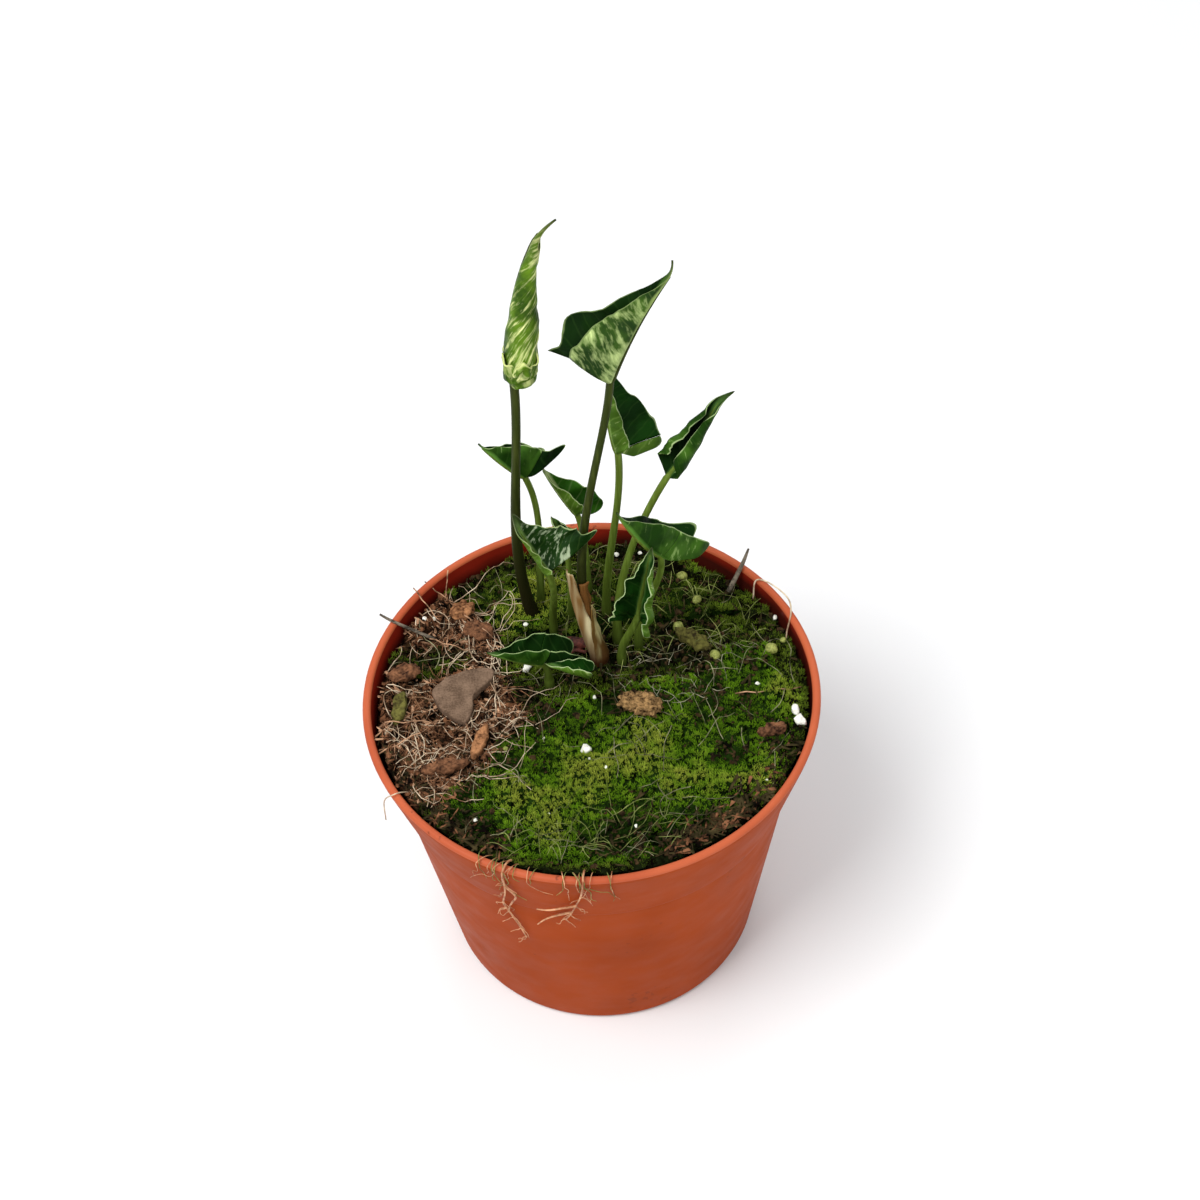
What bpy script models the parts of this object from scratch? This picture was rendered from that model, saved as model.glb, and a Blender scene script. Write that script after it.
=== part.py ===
"""Arrowhead plant with eleven young folded leaves, in a 12 cm plastic nursery pot.

Sizes are in millimetres and are multiplied by MM. The origin is the middle of the pot's underside,
+Z is up and the plant is seen from -Y. Each leaf is one solid: its stalk, its midrib and its blade.
"""

import math
import random
from dataclasses import dataclass

import bmesh
import bpy
from mathutils import Matrix, Vector, noise

MM = 0.001
SEED = 7

# Pot: a 12 cm round container with a flared collar over a straight taper
RIM_RADIUS = 60.0
RIM_HEIGHT = 93.5
RIM_LIP = 2.2
LIP_FOOT = 89.1
COLLAR_FOOT = 69.5
COLLAR_RADIUS = 54.0
COLLAR_STEP = 0.7
BASE_RADIUS = 42.5
WALL = 1.1
FLOOR = 1.3
FOOT_WIDTH = 4.5
CHANNEL_LIFT = 2.4
CENTRE_RADIUS = 12.0
DRAIN_RADIUS = 3.6
DRAIN_RING = 26.0
DRAIN_COUNT = 6
POT_STEPS = 64

# Root ball: fills the pot up to a few millimetres under the rim
CLEAR = 0.35
SOIL_LEVEL = 87.6
SOIL_TILT = 0.045
SOIL_DROP = 70.0
SOIL_RINGS = 8
SOIL_STEPS = 48
HOLE_DEPTH = 6.5
HOLE_PLAY = 0.45
STALK_RISE = 3.0

# Moss mats lie on the soil. A mat runs from its back edge, given by points, to its front edge
MOSS_GAP = 0.8
MOSS_THICK = 1.6
MOSS_SWELL = 0.9
FRONT_MOSS_X = (-42.5, 53.0)
FRONT_MOSS_BACK = ((-42.5, -30.5), (-33.5, -26.0), (-25.0, -11.0), (-14.0, -0.5), (0.0, 2.0), (13.0, 3.5),
                   (29.0, 10.0), (41.0, 17.0), (47.0, 15.0), (53.0, -5.0))
MOSS_RIM = 54.8
BACK_MOSS_X = (-36.5, 44.0)
BACK_MOSS_FRONT = ((-36.5, 38.2), (-28.0, 37.0), (-22.5, 29.0), (-16.0, 25.0), (-4.0, 23.5), (8.0, 26.5),
                   (22.0, 28.0), (44.0, 29.0))

# Blade thickness, and the number of faces along and across each half
BLADE = 0.72
BODY_STEPS = 8
LOBE_STEPS = 4
KEEL_SHARE = 0.16
HALF_SPACING = (0.0, KEEL_SHARE, 0.43, 0.71, 1.0)
HALF_STEPS = len(HALF_SPACING) - 1
# A narrow stretch of blade is too stiff to roll: least radius of its roll, and width that can wave
ROLL_RADIUS = 1.25
WAVE_WIDTH = 5.0
# Half outline of a blade: share of the length from the stalk, share of the half width
OUTLINE = ((0.0, 1.0), (0.2, 0.94), (0.4, 0.74), (0.6, 0.45), (0.78, 0.19), (0.9, 0.055), (1.0, 0.0))
STALK_STEPS = 8
MIDRIB_SHARES = (0.1, 0.3, 0.5, 0.68, 0.8)
MIDRIB_END = 0.4

COLOURS = {
    "pot": ((0.38, 0.075, 0.03, 1.0), 0.42),
    "soil": ((0.05, 0.035, 0.022, 1.0), 0.95),
    "moss": ((0.07, 0.16, 0.015, 1.0), 0.9),
    "moss_dark": ((0.035, 0.075, 0.012, 1.0), 0.92),
    "leaf": ((0.05, 0.16, 0.03, 1.0), 0.38),
    "leaf_young": ((0.16, 0.32, 0.06, 1.0), 0.4),
    "sheath": ((0.45, 0.33, 0.16, 1.0), 0.7),
    "old_stem": ((0.12, 0.04, 0.025, 1.0), 0.7),
    "stone": ((0.17, 0.13, 0.11, 1.0), 0.85),
    "bark": ((0.16, 0.085, 0.045, 1.0), 0.9),
    "bark_pale": ((0.33, 0.22, 0.12, 1.0), 0.9),
    "root": ((0.45, 0.3, 0.17, 1.0), 0.8),
    "twig": ((0.09, 0.07, 0.055, 1.0), 0.85),
}


@dataclass(frozen=True)
class Leaf:
    """One leaf in millimetres and degrees. Pairs give the left and the right half of the blade.

    foot and base are the stalk's ends, tip the blade's. face points out of its upper side. fold is each
    half's slope at the midrib and curl its slope at the margin. lobe is the length behind the stalk
    and spread the width there, as shares. bulge and neck bend the stalk low down and high up.
    """

    name: str
    foot: tuple
    base: tuple
    tip: tuple
    face: tuple
    half: tuple
    fold: tuple
    curl: tuple
    lobe: tuple = (0.0, 0.0)
    spread: tuple = (0.85, 0.85)
    lift: tuple = (0.0, 0.0)
    rise: tuple = (0.0, 0.0)
    full: float = 1.0
    bow: float = -0.03
    sweep: float = 0.0
    twist: float = 0.0
    hook: tuple = (0.0, 0.0, 0.0)
    hook_from: float = 0.8
    wave: float = 0.5
    waves: float = 3.0
    bulge: tuple = (0.0, 0.0)
    neck: tuple = (0.0, 0.0)
    stalk: tuple = (1.1, 0.85)
    colour: str = "leaf"


LEAVES = (
    Leaf("leaf_01_rolled", foot=(-14.5, 31.5), base=(-14.1, 34.0, 177.8), tip=(-6.5, 31.5, 224.8),
         face=(0.85, -0.5, 0.1), half=(15.5, 12.0), fold=(4, 4), curl=(205, 235), full=0.85, bow=-0.035,
         twist=12, hook=(5.6, 0.0, -0.2), hook_from=0.82, wave=0.2, waves=2,
         bulge=(-6.2, 0.0), neck=(1.5, 0.0), stalk=(1.7, 1.15), colour="leaf_young"),
    Leaf("leaf_02_tall", foot=(2.8, 14.0), base=(9.3, 24.0, 180.9), tip=(25.7, 23.0, 216.8),
         face=(-0.8, 0.05, 0.45), half=(18.5, 11.5), fold=(62, 88), curl=(70, 100),
         lift=(0.0, 0.3), bow=-0.015, hook=(-1.4, 0.0, 1.2), hook_from=0.88,
         wave=0.6, waves=2.5, bulge=(-9.7, 5.0), neck=(2.7, 2.5), stalk=(1.45, 1.0)),
    Leaf("leaf_03_back", foot=(5.6, 29.8), base=(10.6, 30.0, 150.2), tip=(10.0, 30.5, 178.3),
         face=(0.85, -0.5, 0.1), half=(5.0, 11.8), fold=(80, 40), curl=(100, 50), lobe=(0.0, 0.14),
         full=0.75, lift=(0.6, 0.0), bow=-0.06, stalk=(1.2, 0.95)),
    Leaf("leaf_04_right", foot=(8.0, 20.5), base=(22.2, 23.0, 147.3), tip=(36.4, 23.0, 176.1),
         face=(-0.55, -0.65, 0.3), half=(10.5, 7.4), fold=(20, 25), curl=(125, 135),
         lift=(0.75, 0.85), full=0.8, bow=-0.07, hook=(2.6, 0.0, -0.3), wave=0.4,
         bulge=(0.0, 2.5), neck=(0.0, 3.0), stalk=(1.2, 0.9)),
    Leaf("leaf_05_low_right", foot=(13.6, 18.5), base=(19.6, 12.0, 131.0), tip=(9.2, 9.5, 150.6),
         face=(0.45, 0.5, 0.72), half=(8.4, 10.0), fold=(78, 42), curl=(98, 62), lobe=(0.6, 0.5),
         spread=(0.75, 0.7), rise=(4.6, 8.5), bow=-0.04, wave=0.4),
    Leaf("leaf_06_drooping", foot=(8.7, 12.6), base=(13.1, 9.5, 109.8), tip=(17.3, 8.5, 137.6),
         face=(-0.05, -0.8, 0.3), half=(9.0, 8.4), fold=(25, 35), curl=(60, 140), lobe=(0.1, 0.12),
         spread=(1.1, 0.9), lift=(0.5, 0.3), full=0.8, wave=0.8, stalk=(1.15, 1.0)),
    Leaf("leaf_07_left", foot=(-12.0, 35.5), base=(-13.7, 37.0, 136.9), tip=(-24.3, 37.0, 149.9),
         face=(0.35, 0.5, 0.75), half=(8.0, 8.6), fold=(62, 62), curl=(80, 80), lobe=(0.34, 0.25),
         spread=(0.9, 0.9), rise=(7.0, 3.0), wave=0.7),
    Leaf("leaf_08_inner", foot=(1.0, 38.5), base=(-0.7, 43.5, 114.4), tip=(-9.1, 43.5, 133.7),
         face=(0.75, -0.35, 0.5), half=(4.7, 7.7), fold=(78, 45), curl=(98, 56), lobe=(0.0, 0.22),
         full=1.1, lift=(0.5, 0.0), wave=0.4),
    Leaf("leaf_09_mottled", foot=(-9.0, 26.0), base=(-9.0, 14.5, 124.1), tip=(-15.7, 12.0, 144.8),
         face=(0.25, -0.8, 0.6), half=(5.4, 13.0), fold=(85, 15), curl=(110, 25), lobe=(0.0, 0.18),
         spread=(0.8, 1.7), lift=(0.4, 0.45), full=0.6, bow=-0.08, hook=(-0.8, 0.0, 4.6),
         stalk=(1.1, 0.9)),
    Leaf("leaf_10_bud", foot=(-4.0, 29.5), base=(-5.0, 31.0, 120.1), tip=(-7.2, 31.0, 127.2),
         face=(0.5, -0.6, 0.5), half=(4.2, 4.2), fold=(50, 50), curl=(110, 95), bow=-0.05, wave=0.3,
         stalk=(0.9, 0.7), colour="leaf_young"),
    Leaf("leaf_11_front", foot=(-10.9, 6.7), base=(-12.6, 5.0, 99.6), tip=(-26.1, 3.5, 107.4),
         face=(0.1, 0.3, 0.9), half=(7.2, 8.4), fold=(48, 60), curl=(84, 92), lobe=(0.9, 0.6),
         spread=(1.1, 0.8), rise=(-3.0, 0.0), wave=0.4, stalk=(1.2, 0.85)),
)

# Dried papery sheath round the tall leaf's stalk: it opens to the right and its tip stands free
SHEATH_BOTTOM = 90.0
SHEATH_TOP = 121.0
SHEATH_GAP = 0.75
SHEATH_WALL = 0.6
SHEATH_HALF_TURN = (118, 20)
SHEATH_FACING = 205
SHEATH_LEAN = 3.2

# Stub of an old stem lying between the stalks
OLD_STEM = ((-7.0, 20.8, 1.0), (-4.0, 19.6, 1.6), (-1.2, 18.6, 1.5), (0.2, 17.6, 0.8))

# Chips of bark: name, place, length, width, thickness, turn in degrees, colour
CHIPS = (
    ("chip_back_tan", (-33.6, 34.0), 7.5, 5.5, 2.6, 20, "bark_pale"),
    ("chip_back_brown", (-29.4, 26.6), 9.0, 6.0, 2.4, -30, "bark"),
    ("chip_left_rim", (-49.4, 12.2), 9.0, 5.0, 2.4, 15, "bark"),
    ("chip_left_low", (-50.6, 0.6), 9.5, 4.6, 2.4, 80, "bark"),
    ("chip_front_upright", (-29.6, -12.2), 9.0, 4.4, 2.8, 72, "bark_pale"),
    ("chip_front_flat", (-38.8, -19.6), 12.0, 5.0, 2.4, 8, "bark_pale"),
    ("chip_cluster", (12.7, -5.2), 12.0, 7.0, 4.0, -18, "bark_pale"),
    ("chip_mossy", (28.4, 19.0), 11.0, 5.0, 2.6, -42, "bark"),
    ("chip_right_rim", (46.0, -15.8), 7.0, 3.6, 2.2, 12, "bark_pale"),
)
# Flat flake of stone with a bite out of its lower right
STONE_THICK = 2.4
STONE_BEVEL = 0.5
STONE_OUTLINE = ((-41.9, 5.9), (-38.4, 9.9), (-33.8, 11.9), (-29.0, 12.8), (-25.4, 12.0), (-26.2, 8.4),
                 (-29.4, 5.4), (-31.2, 2.6), (-31.4, -1.6), (-33.3, -5.0), (-36.6, -3.2), (-40.2, 0.4))
# Perlite grains and slow release prills stuck in the soil: place and radius
GRAINS = ((-16.7, 13.4, 1.3), (-22.0, -5.0, 0.9), (-44.0, 22.0, 1.0), (27.1, 26.0, 1.3),
          (33.6, 14.6, 1.4), (48.4, 17.4, 1.3), (-46.0, -12.0, 1.0), (18.5, 11.8, 1.0))

# Roots over the front of the rim: each run is a list of (degrees round the rim, height, distance off the wall)
ROOT_RADIUS = 0.42
ROOT_END = 0.32
ROOT_GAP = 0.45
LEFT_ROOTS = (
    ((-113.5, 91.2, -4.4), (-113.6, 93.2, -3.4), (-113.8, 94.5, -1.2), (-113.9, 93.4, 0.3), (-114.6, 86.0, 0.3),
     (-115.6, 79.0, 0.3), (-117.6, 71.0, 0.5), (-117.9, 65.5, 0.4), (-116.6, 60.5, 0.3), (-115.2, 54.9, 0.3),
     (-114.2, 49.9, 0.3)),
    ((-114.7, 85.0, 0.4), (-112.6, 79.6, 0.5), (-114.6, 73.5, 0.5), (-116.8, 67.2, 0.5), (-117.4, 63.9, 0.5)),
)
RIGHT_ROOTS = (
    ((-94.6, 91.2, -4.4), (-94.6, 93.2, -3.4), (-94.7, 94.5, -1.2), (-94.8, 93.4, 0.3), (-95.7, 85.5, 0.3),
     (-97.4, 78.5, 0.3), (-99.2, 72.0, 0.4), (-101.0, 66.8, 0.3)),
    ((-97.2, 79.0, 0.4), (-100.4, 77.0, 0.4), (-104.6, 74.2, 0.5), (-107.8, 73.6, 0.6)),
    ((-98.6, 74.2, 0.4), (-103.0, 69.2, 0.5), (-106.6, 65.4, 0.4), (-109.4, 60.8, 0.3)),
)
# Twigs that lie on the soil and lean over the rim: runs of (x, y, height, radius), height None on the ground
TWIGS = {
    "twig_right": ((39.4, 35.4, None, 0.8), (43.2, 38.6, 94.85, 0.7), (45.2, 40.5, 99.4, 0.35)),
    "twig_left": ((-41.1, 25.4, None, 0.5), (-51.6, 26.7, 94.45, 0.55), (-55.2, 27.2, 97.4, 0.35)),
}


def soil_height(x, y):
    """Height of the root ball's top at a place."""
    lumps = noise.noise(Vector((x * 0.045, y * 0.045, 3.0))) * 2.0
    crown = 1.2 * math.exp(-((x + 3) ** 2 + (y - 22) ** 2) / 320)
    edge = max(0.0, math.hypot(x, y) / RIM_RADIUS - 0.8) ** 2
    return SOIL_LEVEL - SOIL_TILT * (y + 10) + lumps + crown - SOIL_DROP * edge


def between(points, x):
    """Value at x on the broken line through points of (x, value)."""
    for (x0, a), (x1, b) in zip(points, points[1:]):
        if x <= x1:
            break
    share = min(max((x - x0) / (x1 - x0), 0.0), 1.0)
    return a + (b - a) * share


def wall_radius(height):
    """Radius of the pot's outer face at a height."""
    if height >= COLLAR_FOOT:
        share = (height - COLLAR_FOOT) / (RIM_HEIGHT - COLLAR_FOOT)
        return COLLAR_RADIUS + (RIM_RADIUS - COLLAR_RADIUS) * share
    return BASE_RADIUS + (COLLAR_RADIUS - COLLAR_STEP - BASE_RADIUS) * height / COLLAR_FOOT


def front_rim(x):
    return -math.sqrt(MOSS_RIM**2 - x * x)


def moss_rise(x, y):
    """Thickness of the moss at a place inside its mat."""
    return MOSS_THICK + MOSS_SWELL * noise.noise(Vector((x * 0.11, y * 0.11, 9.0)))


def on_moss(x, y):
    """Whether one of the two mats covers a place."""
    if abs(x) >= MOSS_RIM:
        return False
    front = FRONT_MOSS_X[0] < x < FRONT_MOSS_X[1] and front_rim(x) < y < between(FRONT_MOSS_BACK, x)
    back = BACK_MOSS_X[0] < x < BACK_MOSS_X[1] and between(BACK_MOSS_FRONT, x) < y < -front_rim(x)
    return front or back


def ground(x, y):
    """Height of the soil, or of the moss where a mat covers it."""
    return soil_height(x, y) + (MOSS_GAP + moss_rise(x, y) if on_moss(x, y) else 0.0)


def material(name):
    """The Principled material of that name, made once."""
    found = bpy.data.materials.get(name)
    if found:
        return found
    colour, roughness = COLOURS[name]
    made = bpy.data.materials.new(name)
    made.use_nodes = True
    shader = made.node_tree.nodes["Principled BSDF"]
    shader.inputs["Base Color"].default_value = colour
    shader.inputs["Roughness"].default_value = roughness
    shader.inputs["Metallic"].default_value = 0.0
    made.diffuse_color = colour
    return made


def collection(name):
    made = bpy.data.collections.new(name)
    bpy.context.scene.collection.children.link(made)
    return made


def clear_scene():
    for obj in list(bpy.data.objects):
        bpy.data.objects.remove(obj)


def mesh_of(bm, name):
    """A mesh datablock made from a bmesh, which is freed."""
    mesh = bpy.data.meshes.new(name)
    bm.to_mesh(mesh)
    bm.free()
    return mesh


def new_object(name, mesh, group):
    obj = bpy.data.objects.new(name, mesh)
    group.objects.link(obj)
    return obj


def finish(obj, colour, sharp=40):
    """Give a piece its material and smooth shading."""
    obj.data.materials.clear()
    obj.data.materials.append(material(colour))
    obj.data.shade_smooth()
    obj.data.set_sharp_from_angle(angle=math.radians(sharp))
    return obj


def apply_modifiers(obj):
    """Replace an object's mesh by its evaluated one."""
    graph = bpy.context.evaluated_depsgraph_get()
    made = bpy.data.meshes.new_from_object(obj.evaluated_get(graph))
    obj.modifiers.clear()
    obj.data = made
    return obj


def tube(name, points, radii, group):
    """A closed tube through points, with its own radius at each."""
    data = bpy.data.curves.new(name, "CURVE")
    data.dimensions = "3D"
    data.bevel_depth = MM
    data.bevel_resolution = 2
    data.use_fill_caps = True
    line = data.splines.new("POLY")
    line.points.add(len(points) - 1)
    for point, place, radius in zip(line.points, points, radii):
        point.co = (*(Vector(place) * MM), 1.0)
        point.radius = radius
    curve = new_object(name + "_route", data, group)
    mesh = apply_to_mesh(curve)
    bm = bmesh.new()
    bm.from_mesh(mesh)
    bmesh.ops.remove_doubles(bm, verts=bm.verts, dist=1e-6)
    bmesh.ops.recalc_face_normals(bm, faces=bm.faces)
    bm.to_mesh(mesh)
    bm.free()
    made = new_object(name, mesh, group)
    made.matrix_world = curve.matrix_world
    bpy.data.objects.remove(curve)
    return made


def apply_to_mesh(curve):
    graph = bpy.context.evaluated_depsgraph_get()
    return bpy.data.meshes.new_from_object(curve.evaluated_get(graph))


def boolean(target, others, operation, cutters):
    """Join a list of objects to the target, or cut them out of it, and remove them."""
    for other in others:
        for group in list(other.users_collection):
            group.objects.unlink(other)
        cutters.objects.link(other)
        other.hide_render = True
        other.display_type = "WIRE"
    step = target.modifiers.new(operation.title(), "BOOLEAN")
    step.operation = operation
    step.operand_type = "COLLECTION"
    step.collection = cutters
    step.solver = "EXACT"
    apply_modifiers(target)
    for other in others:
        bpy.data.objects.remove(other)
    return target


def turned(name, profile, steps, group):
    """A profile of (radius, height) turned round Z."""
    bm = bmesh.new()
    verts = [bm.verts.new((radius * MM, 0, height * MM)) for radius, height in profile]
    for a, b in zip(verts, verts[1:]):
        bm.edges.new((a, b))
    made = new_object(name, mesh_of(bm, name), group)
    screw = made.modifiers.new("Turned", "SCREW")
    screw.axis = "Z"
    screw.steps = steps
    screw.render_steps = steps
    screw.use_merge_vertices = True
    screw.merge_threshold = 0.00001
    return apply_modifiers(made)


def cylinder(name, place, radius, height, segments, group):
    """An upright closed cylinder with its middle at a place."""
    bm = bmesh.new()
    bmesh.ops.create_cone(bm, cap_ends=True, segments=segments, radius1=radius * MM,
                          radius2=radius * MM, depth=height * MM)
    bmesh.ops.translate(bm, verts=bm.verts, vec=Vector(place) * MM)
    return new_object(name, mesh_of(bm, name), group)


def outline_width(share):
    """Half width of the blade, as a share of its widest, by cubic pieces through OUTLINE."""
    share = min(max(share, 0.0), 1.0)
    last = len(OUTLINE) - 1

    def slope(i):
        low, high = max(i - 1, 0), min(i + 1, last)
        return (OUTLINE[high][1] - OUTLINE[low][1]) / (OUTLINE[high][0] - OUTLINE[low][0])

    i = 0
    while i < last - 1 and share > OUTLINE[i + 1][0]:
        i += 1
    span = OUTLINE[i + 1][0] - OUTLINE[i][0]
    t = (share - OUTLINE[i][0]) / span
    ends = (2 * t**3 - 3 * t**2 + 1) * OUTLINE[i][1] + (3 * t**2 - 2 * t**3) * OUTLINE[i + 1][1]
    return ends + span * ((t**3 - 2 * t**2 + t) * slope(i) + (t**3 - t**2) * slope(i + 1))


def arc(start, end, length):
    """Distance out and up along a curve whose slope turns evenly from start to end."""
    turn = end - start
    if abs(turn) < 1e-3:
        return length * math.cos(start), length * math.sin(start)
    out = (math.sin(end) - math.sin(start)) / turn
    return length * out, length * (math.cos(start) - math.cos(end)) / turn


def section(fold, curl, share, width):
    """A half blade cut across, from the rounded keel on: out, up and slope at a share of its width."""
    limit = width / ROLL_RADIUS
    fold = min(fold, limit * 0.6)
    curl = min(curl, limit)
    if share <= KEEL_SHARE:
        slope = fold * share / KEEL_SHARE
        return *arc(0.0, slope, width * share), slope
    keel_out, keel_up = arc(0.0, fold, width * KEEL_SHARE)
    slope = fold + (curl - fold) * (share - KEEL_SHARE) / (1 - KEEL_SHARE)
    out, up = arc(fold, slope, width * (share - KEEL_SHARE))
    return keel_out + out, keel_up + up, slope


class Blade:
    """Maps a leaf's flat outline to its folded, curled and bowed shape."""

    def __init__(self, leaf):
        self.leaf = leaf
        self.base = Vector(leaf.base)
        self.chord = Vector(leaf.tip) - self.base
        self.length = self.chord.length
        along = self.chord.normalized()
        self.up = (Vector(leaf.face) - along * along.dot(Vector(leaf.face))).normalized()
        self.across = self.up.cross(along)

    def midrib(self, share):
        leaf = self.leaf
        arch = 4 * share * (1 - share) if share > 0 else 4 * share
        hook = max(share - leaf.hook_from, 0.0) / (1 - leaf.hook_from)
        bowed = self.up * leaf.bow + self.across * leaf.sweep
        return self.base + self.chord * share + bowed * (self.length * arch) + Vector(leaf.hook) * hook**2

    def frame(self, share):
        """Midrib point, tangent, upward and leftward directions."""
        step = 1e-3
        tangent = (self.midrib(share + step) - self.midrib(share - step)).normalized()
        up = (self.up - tangent * tangent.dot(self.up)).normalized()
        turn = Matrix.Rotation(math.radians(self.leaf.twist) * max(share, -0.3), 3, tangent)
        up = turn @ up
        return self.midrib(share), tangent, up, up.cross(tangent)

    def place(self, side, share, across, width, edge, into_lobe):
        """The point at a share of the length and of the half width, on side 0 (left) or 1 (right)."""
        leaf = self.leaf
        point, tangent, up, left = self.frame(share)
        out, high, slope = section(math.radians(leaf.fold[side]), math.radians(leaf.curl[side]), across, width)
        wave = leaf.wave * edge * edge * math.sin(2 * math.pi * leaf.waves * share + 1.7 * side)
        wave *= min(1.0, width / WAVE_WIDTH)
        out -= wave * math.sin(slope)
        high += wave * math.cos(slope) + leaf.rise[side] * into_lobe * into_lobe
        forward = leaf.lift[side] * width * across * (1 - min(max(share, 0.0), 1.0)) ** 2
        return point + left * (out if side == 0 else -out) + up * high + tangent * forward

    def body_point(self, side, along, reach):
        share = 1 - (1 - along) ** 1.15
        width = self.leaf.half[side] * outline_width(share) ** self.leaf.full
        return self.place(side, share, reach, width, reach, 0.0)

    def lobe_point(self, side, turn, reach):
        """A point of the lobe behind the stalk, on spokes from the widest place round to the notch."""
        half = self.leaf.half[side]
        back = self.leaf.lobe[side] * self.length
        tip = self.leaf.spread[side] * half
        corners = ((0.0, half), (-0.62 * back, half * 1.04), (-1.16 * back, tip * 1.05),
                   (-0.86 * back, tip * 0.42))
        shares = ((1 - turn) ** 3, 3 * (1 - turn) ** 2 * turn, 3 * (1 - turn) * turn**2, turn**3)
        along = sum(share * corner[0] for share, corner in zip(shares, corners))
        across = sum(share * corner[1] for share, corner in zip(shares, corners))
        into_lobe = min(1.0, -along * reach / back)
        return self.place(side, along * reach / self.length, across * reach / half, half, reach, into_lobe)


def add_patch(bm, columns, rows, place):
    """A grid of faces whose corner (i, j) lies at place(i, j)."""
    for vert in bmesh.ops.create_grid(bm, x_segments=columns, y_segments=rows, size=0.5)["verts"]:
        i = round((vert.co.x + 0.5) * columns)
        j = round((vert.co.y + 0.5) * rows)
        vert.co = place(i, j) * MM


def leaf_sheet(blade, group):
    """The thin folded sheet of a leaf with its lobes, given its thickness on the underside."""
    bm = bmesh.new()
    for side in (0, 1):
        add_patch(bm, BODY_STEPS, HALF_STEPS,
                  lambda i, j, s=side: blade.body_point(s, i / BODY_STEPS, HALF_SPACING[j]))
        if blade.leaf.lobe[side]:
            add_patch(bm, LOBE_STEPS, HALF_STEPS,
                      lambda i, j, s=side: blade.lobe_point(s, i / LOBE_STEPS, HALF_SPACING[j]))
    bmesh.ops.remove_doubles(bm, verts=bm.verts, dist=1e-6)
    bmesh.ops.dissolve_degenerate(bm, edges=bm.edges, dist=1e-7)
    bmesh.ops.triangulate(bm, faces=bm.faces, quad_method="SHORT_EDGE")
    bmesh.ops.recalc_face_normals(bm, faces=bm.faces)
    middle = blade.midrib(0.35) * MM
    nearest = min(bm.faces, key=lambda face: (face.calc_center_median() - middle).length)
    if nearest.normal.dot(blade.frame(0.35)[2]) < 0:
        bmesh.ops.reverse_faces(bm, faces=bm.faces)
    name = blade.leaf.name + "_sheet"
    sheet = new_object(name, mesh_of(bm, name), group)
    shell = sheet.modifiers.new("Thickness", "SOLIDIFY")
    shell.thickness = BLADE * MM
    shell.offset = -1.0
    return apply_modifiers(sheet)


def stalk_route(leaf, blade):
    """Points and radii of the stalk, from inside the soil up to the blade, and of the midrib under it."""
    foot = Vector((*leaf.foot, soil_height(*leaf.foot) + STALK_RISE))
    base = Vector(leaf.base)
    height = (base - foot).length
    straight = (base - foot).normalized()
    low = foot + Vector((*leaf.bulge, height * 0.35))
    high = base - (blade.frame(0.0)[1] * 0.6 + straight * 0.8) * height * 0.22 + Vector((*leaf.neck, 0.0))
    points = [foot - Vector((0, 0, STALK_RISE + HOLE_DEPTH - 0.6))]
    radii = [leaf.stalk[0]]
    for i in range(STALK_STEPS + 1):
        t = i / STALK_STEPS
        points.append(foot * (1 - t) ** 3 + low * 3 * (1 - t) ** 2 * t + high * 3 * (1 - t) * t**2 + base * t**3)
        radii.append(leaf.stalk[0] + (leaf.stalk[1] - leaf.stalk[0]) * min(1.0, t * 1.6))
    for share in MIDRIB_SHARES:
        point, _, up, _ = blade.frame(share)
        radius = leaf.stalk[1] * 0.8 * (1 - share) + MIDRIB_END * share
        points.append(point - up * (BLADE * 0.5 + radius * 0.25))
        radii.append(radius)
    return points, radii


def make_leaf(leaf, group, cutters):
    """A leaf as one solid: stalk and midrib joined to the blade."""
    blade = Blade(leaf)
    stalk = tube(leaf.name, *stalk_route(leaf, blade), group)
    boolean(stalk, [leaf_sheet(blade, group)], "UNION", cutters)
    return finish(stalk, leaf.colour)


def make_pot(group, cutters):
    """The pot: a thin wall turned round Z, with a ring foot and drain holes in its floor."""
    inside_floor = CHANNEL_LIFT + FLOOR
    body = COLLAR_RADIUS - COLLAR_STEP
    foot_in = BASE_RADIUS - FOOT_WIDTH
    profile = (
        (0.0, inside_floor), (BASE_RADIUS - WALL, inside_floor), (body - WALL, COLLAR_FOOT - 1.2),
        (COLLAR_RADIUS - WALL, COLLAR_FOOT), (RIM_RADIUS - RIM_LIP, LIP_FOOT),
        (RIM_RADIUS - RIM_LIP, RIM_HEIGHT - 0.5), (RIM_RADIUS - RIM_LIP + 0.5, RIM_HEIGHT),
        (RIM_RADIUS - 0.5, RIM_HEIGHT), (RIM_RADIUS, RIM_HEIGHT - 0.6), (RIM_RADIUS - 0.3, RIM_HEIGHT - 2.6),
        (COLLAR_RADIUS, COLLAR_FOOT), (body, COLLAR_FOOT - 0.9), (BASE_RADIUS + 0.9, 1.4),
        (BASE_RADIUS, 0.0), (foot_in, 0.0), (foot_in - 1.2, CHANNEL_LIFT),
        (CENTRE_RADIUS + 1.2, CHANNEL_LIFT), (CENTRE_RADIUS, 0.0), (0.0, 0.0),
    )
    pot = turned("pot", profile, POT_STEPS, group)
    drains = []
    for i in range(DRAIN_COUNT):
        turn = 2 * math.pi * i / DRAIN_COUNT
        place = (DRAIN_RING * math.cos(turn), DRAIN_RING * math.sin(turn), inside_floor / 2)
        drains.append(cylinder("drain", place, DRAIN_RADIUS, 10.0, 16, group))
    boolean(pot, drains, "DIFFERENCE", cutters)
    return finish(pot, "pot", 30)


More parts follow.
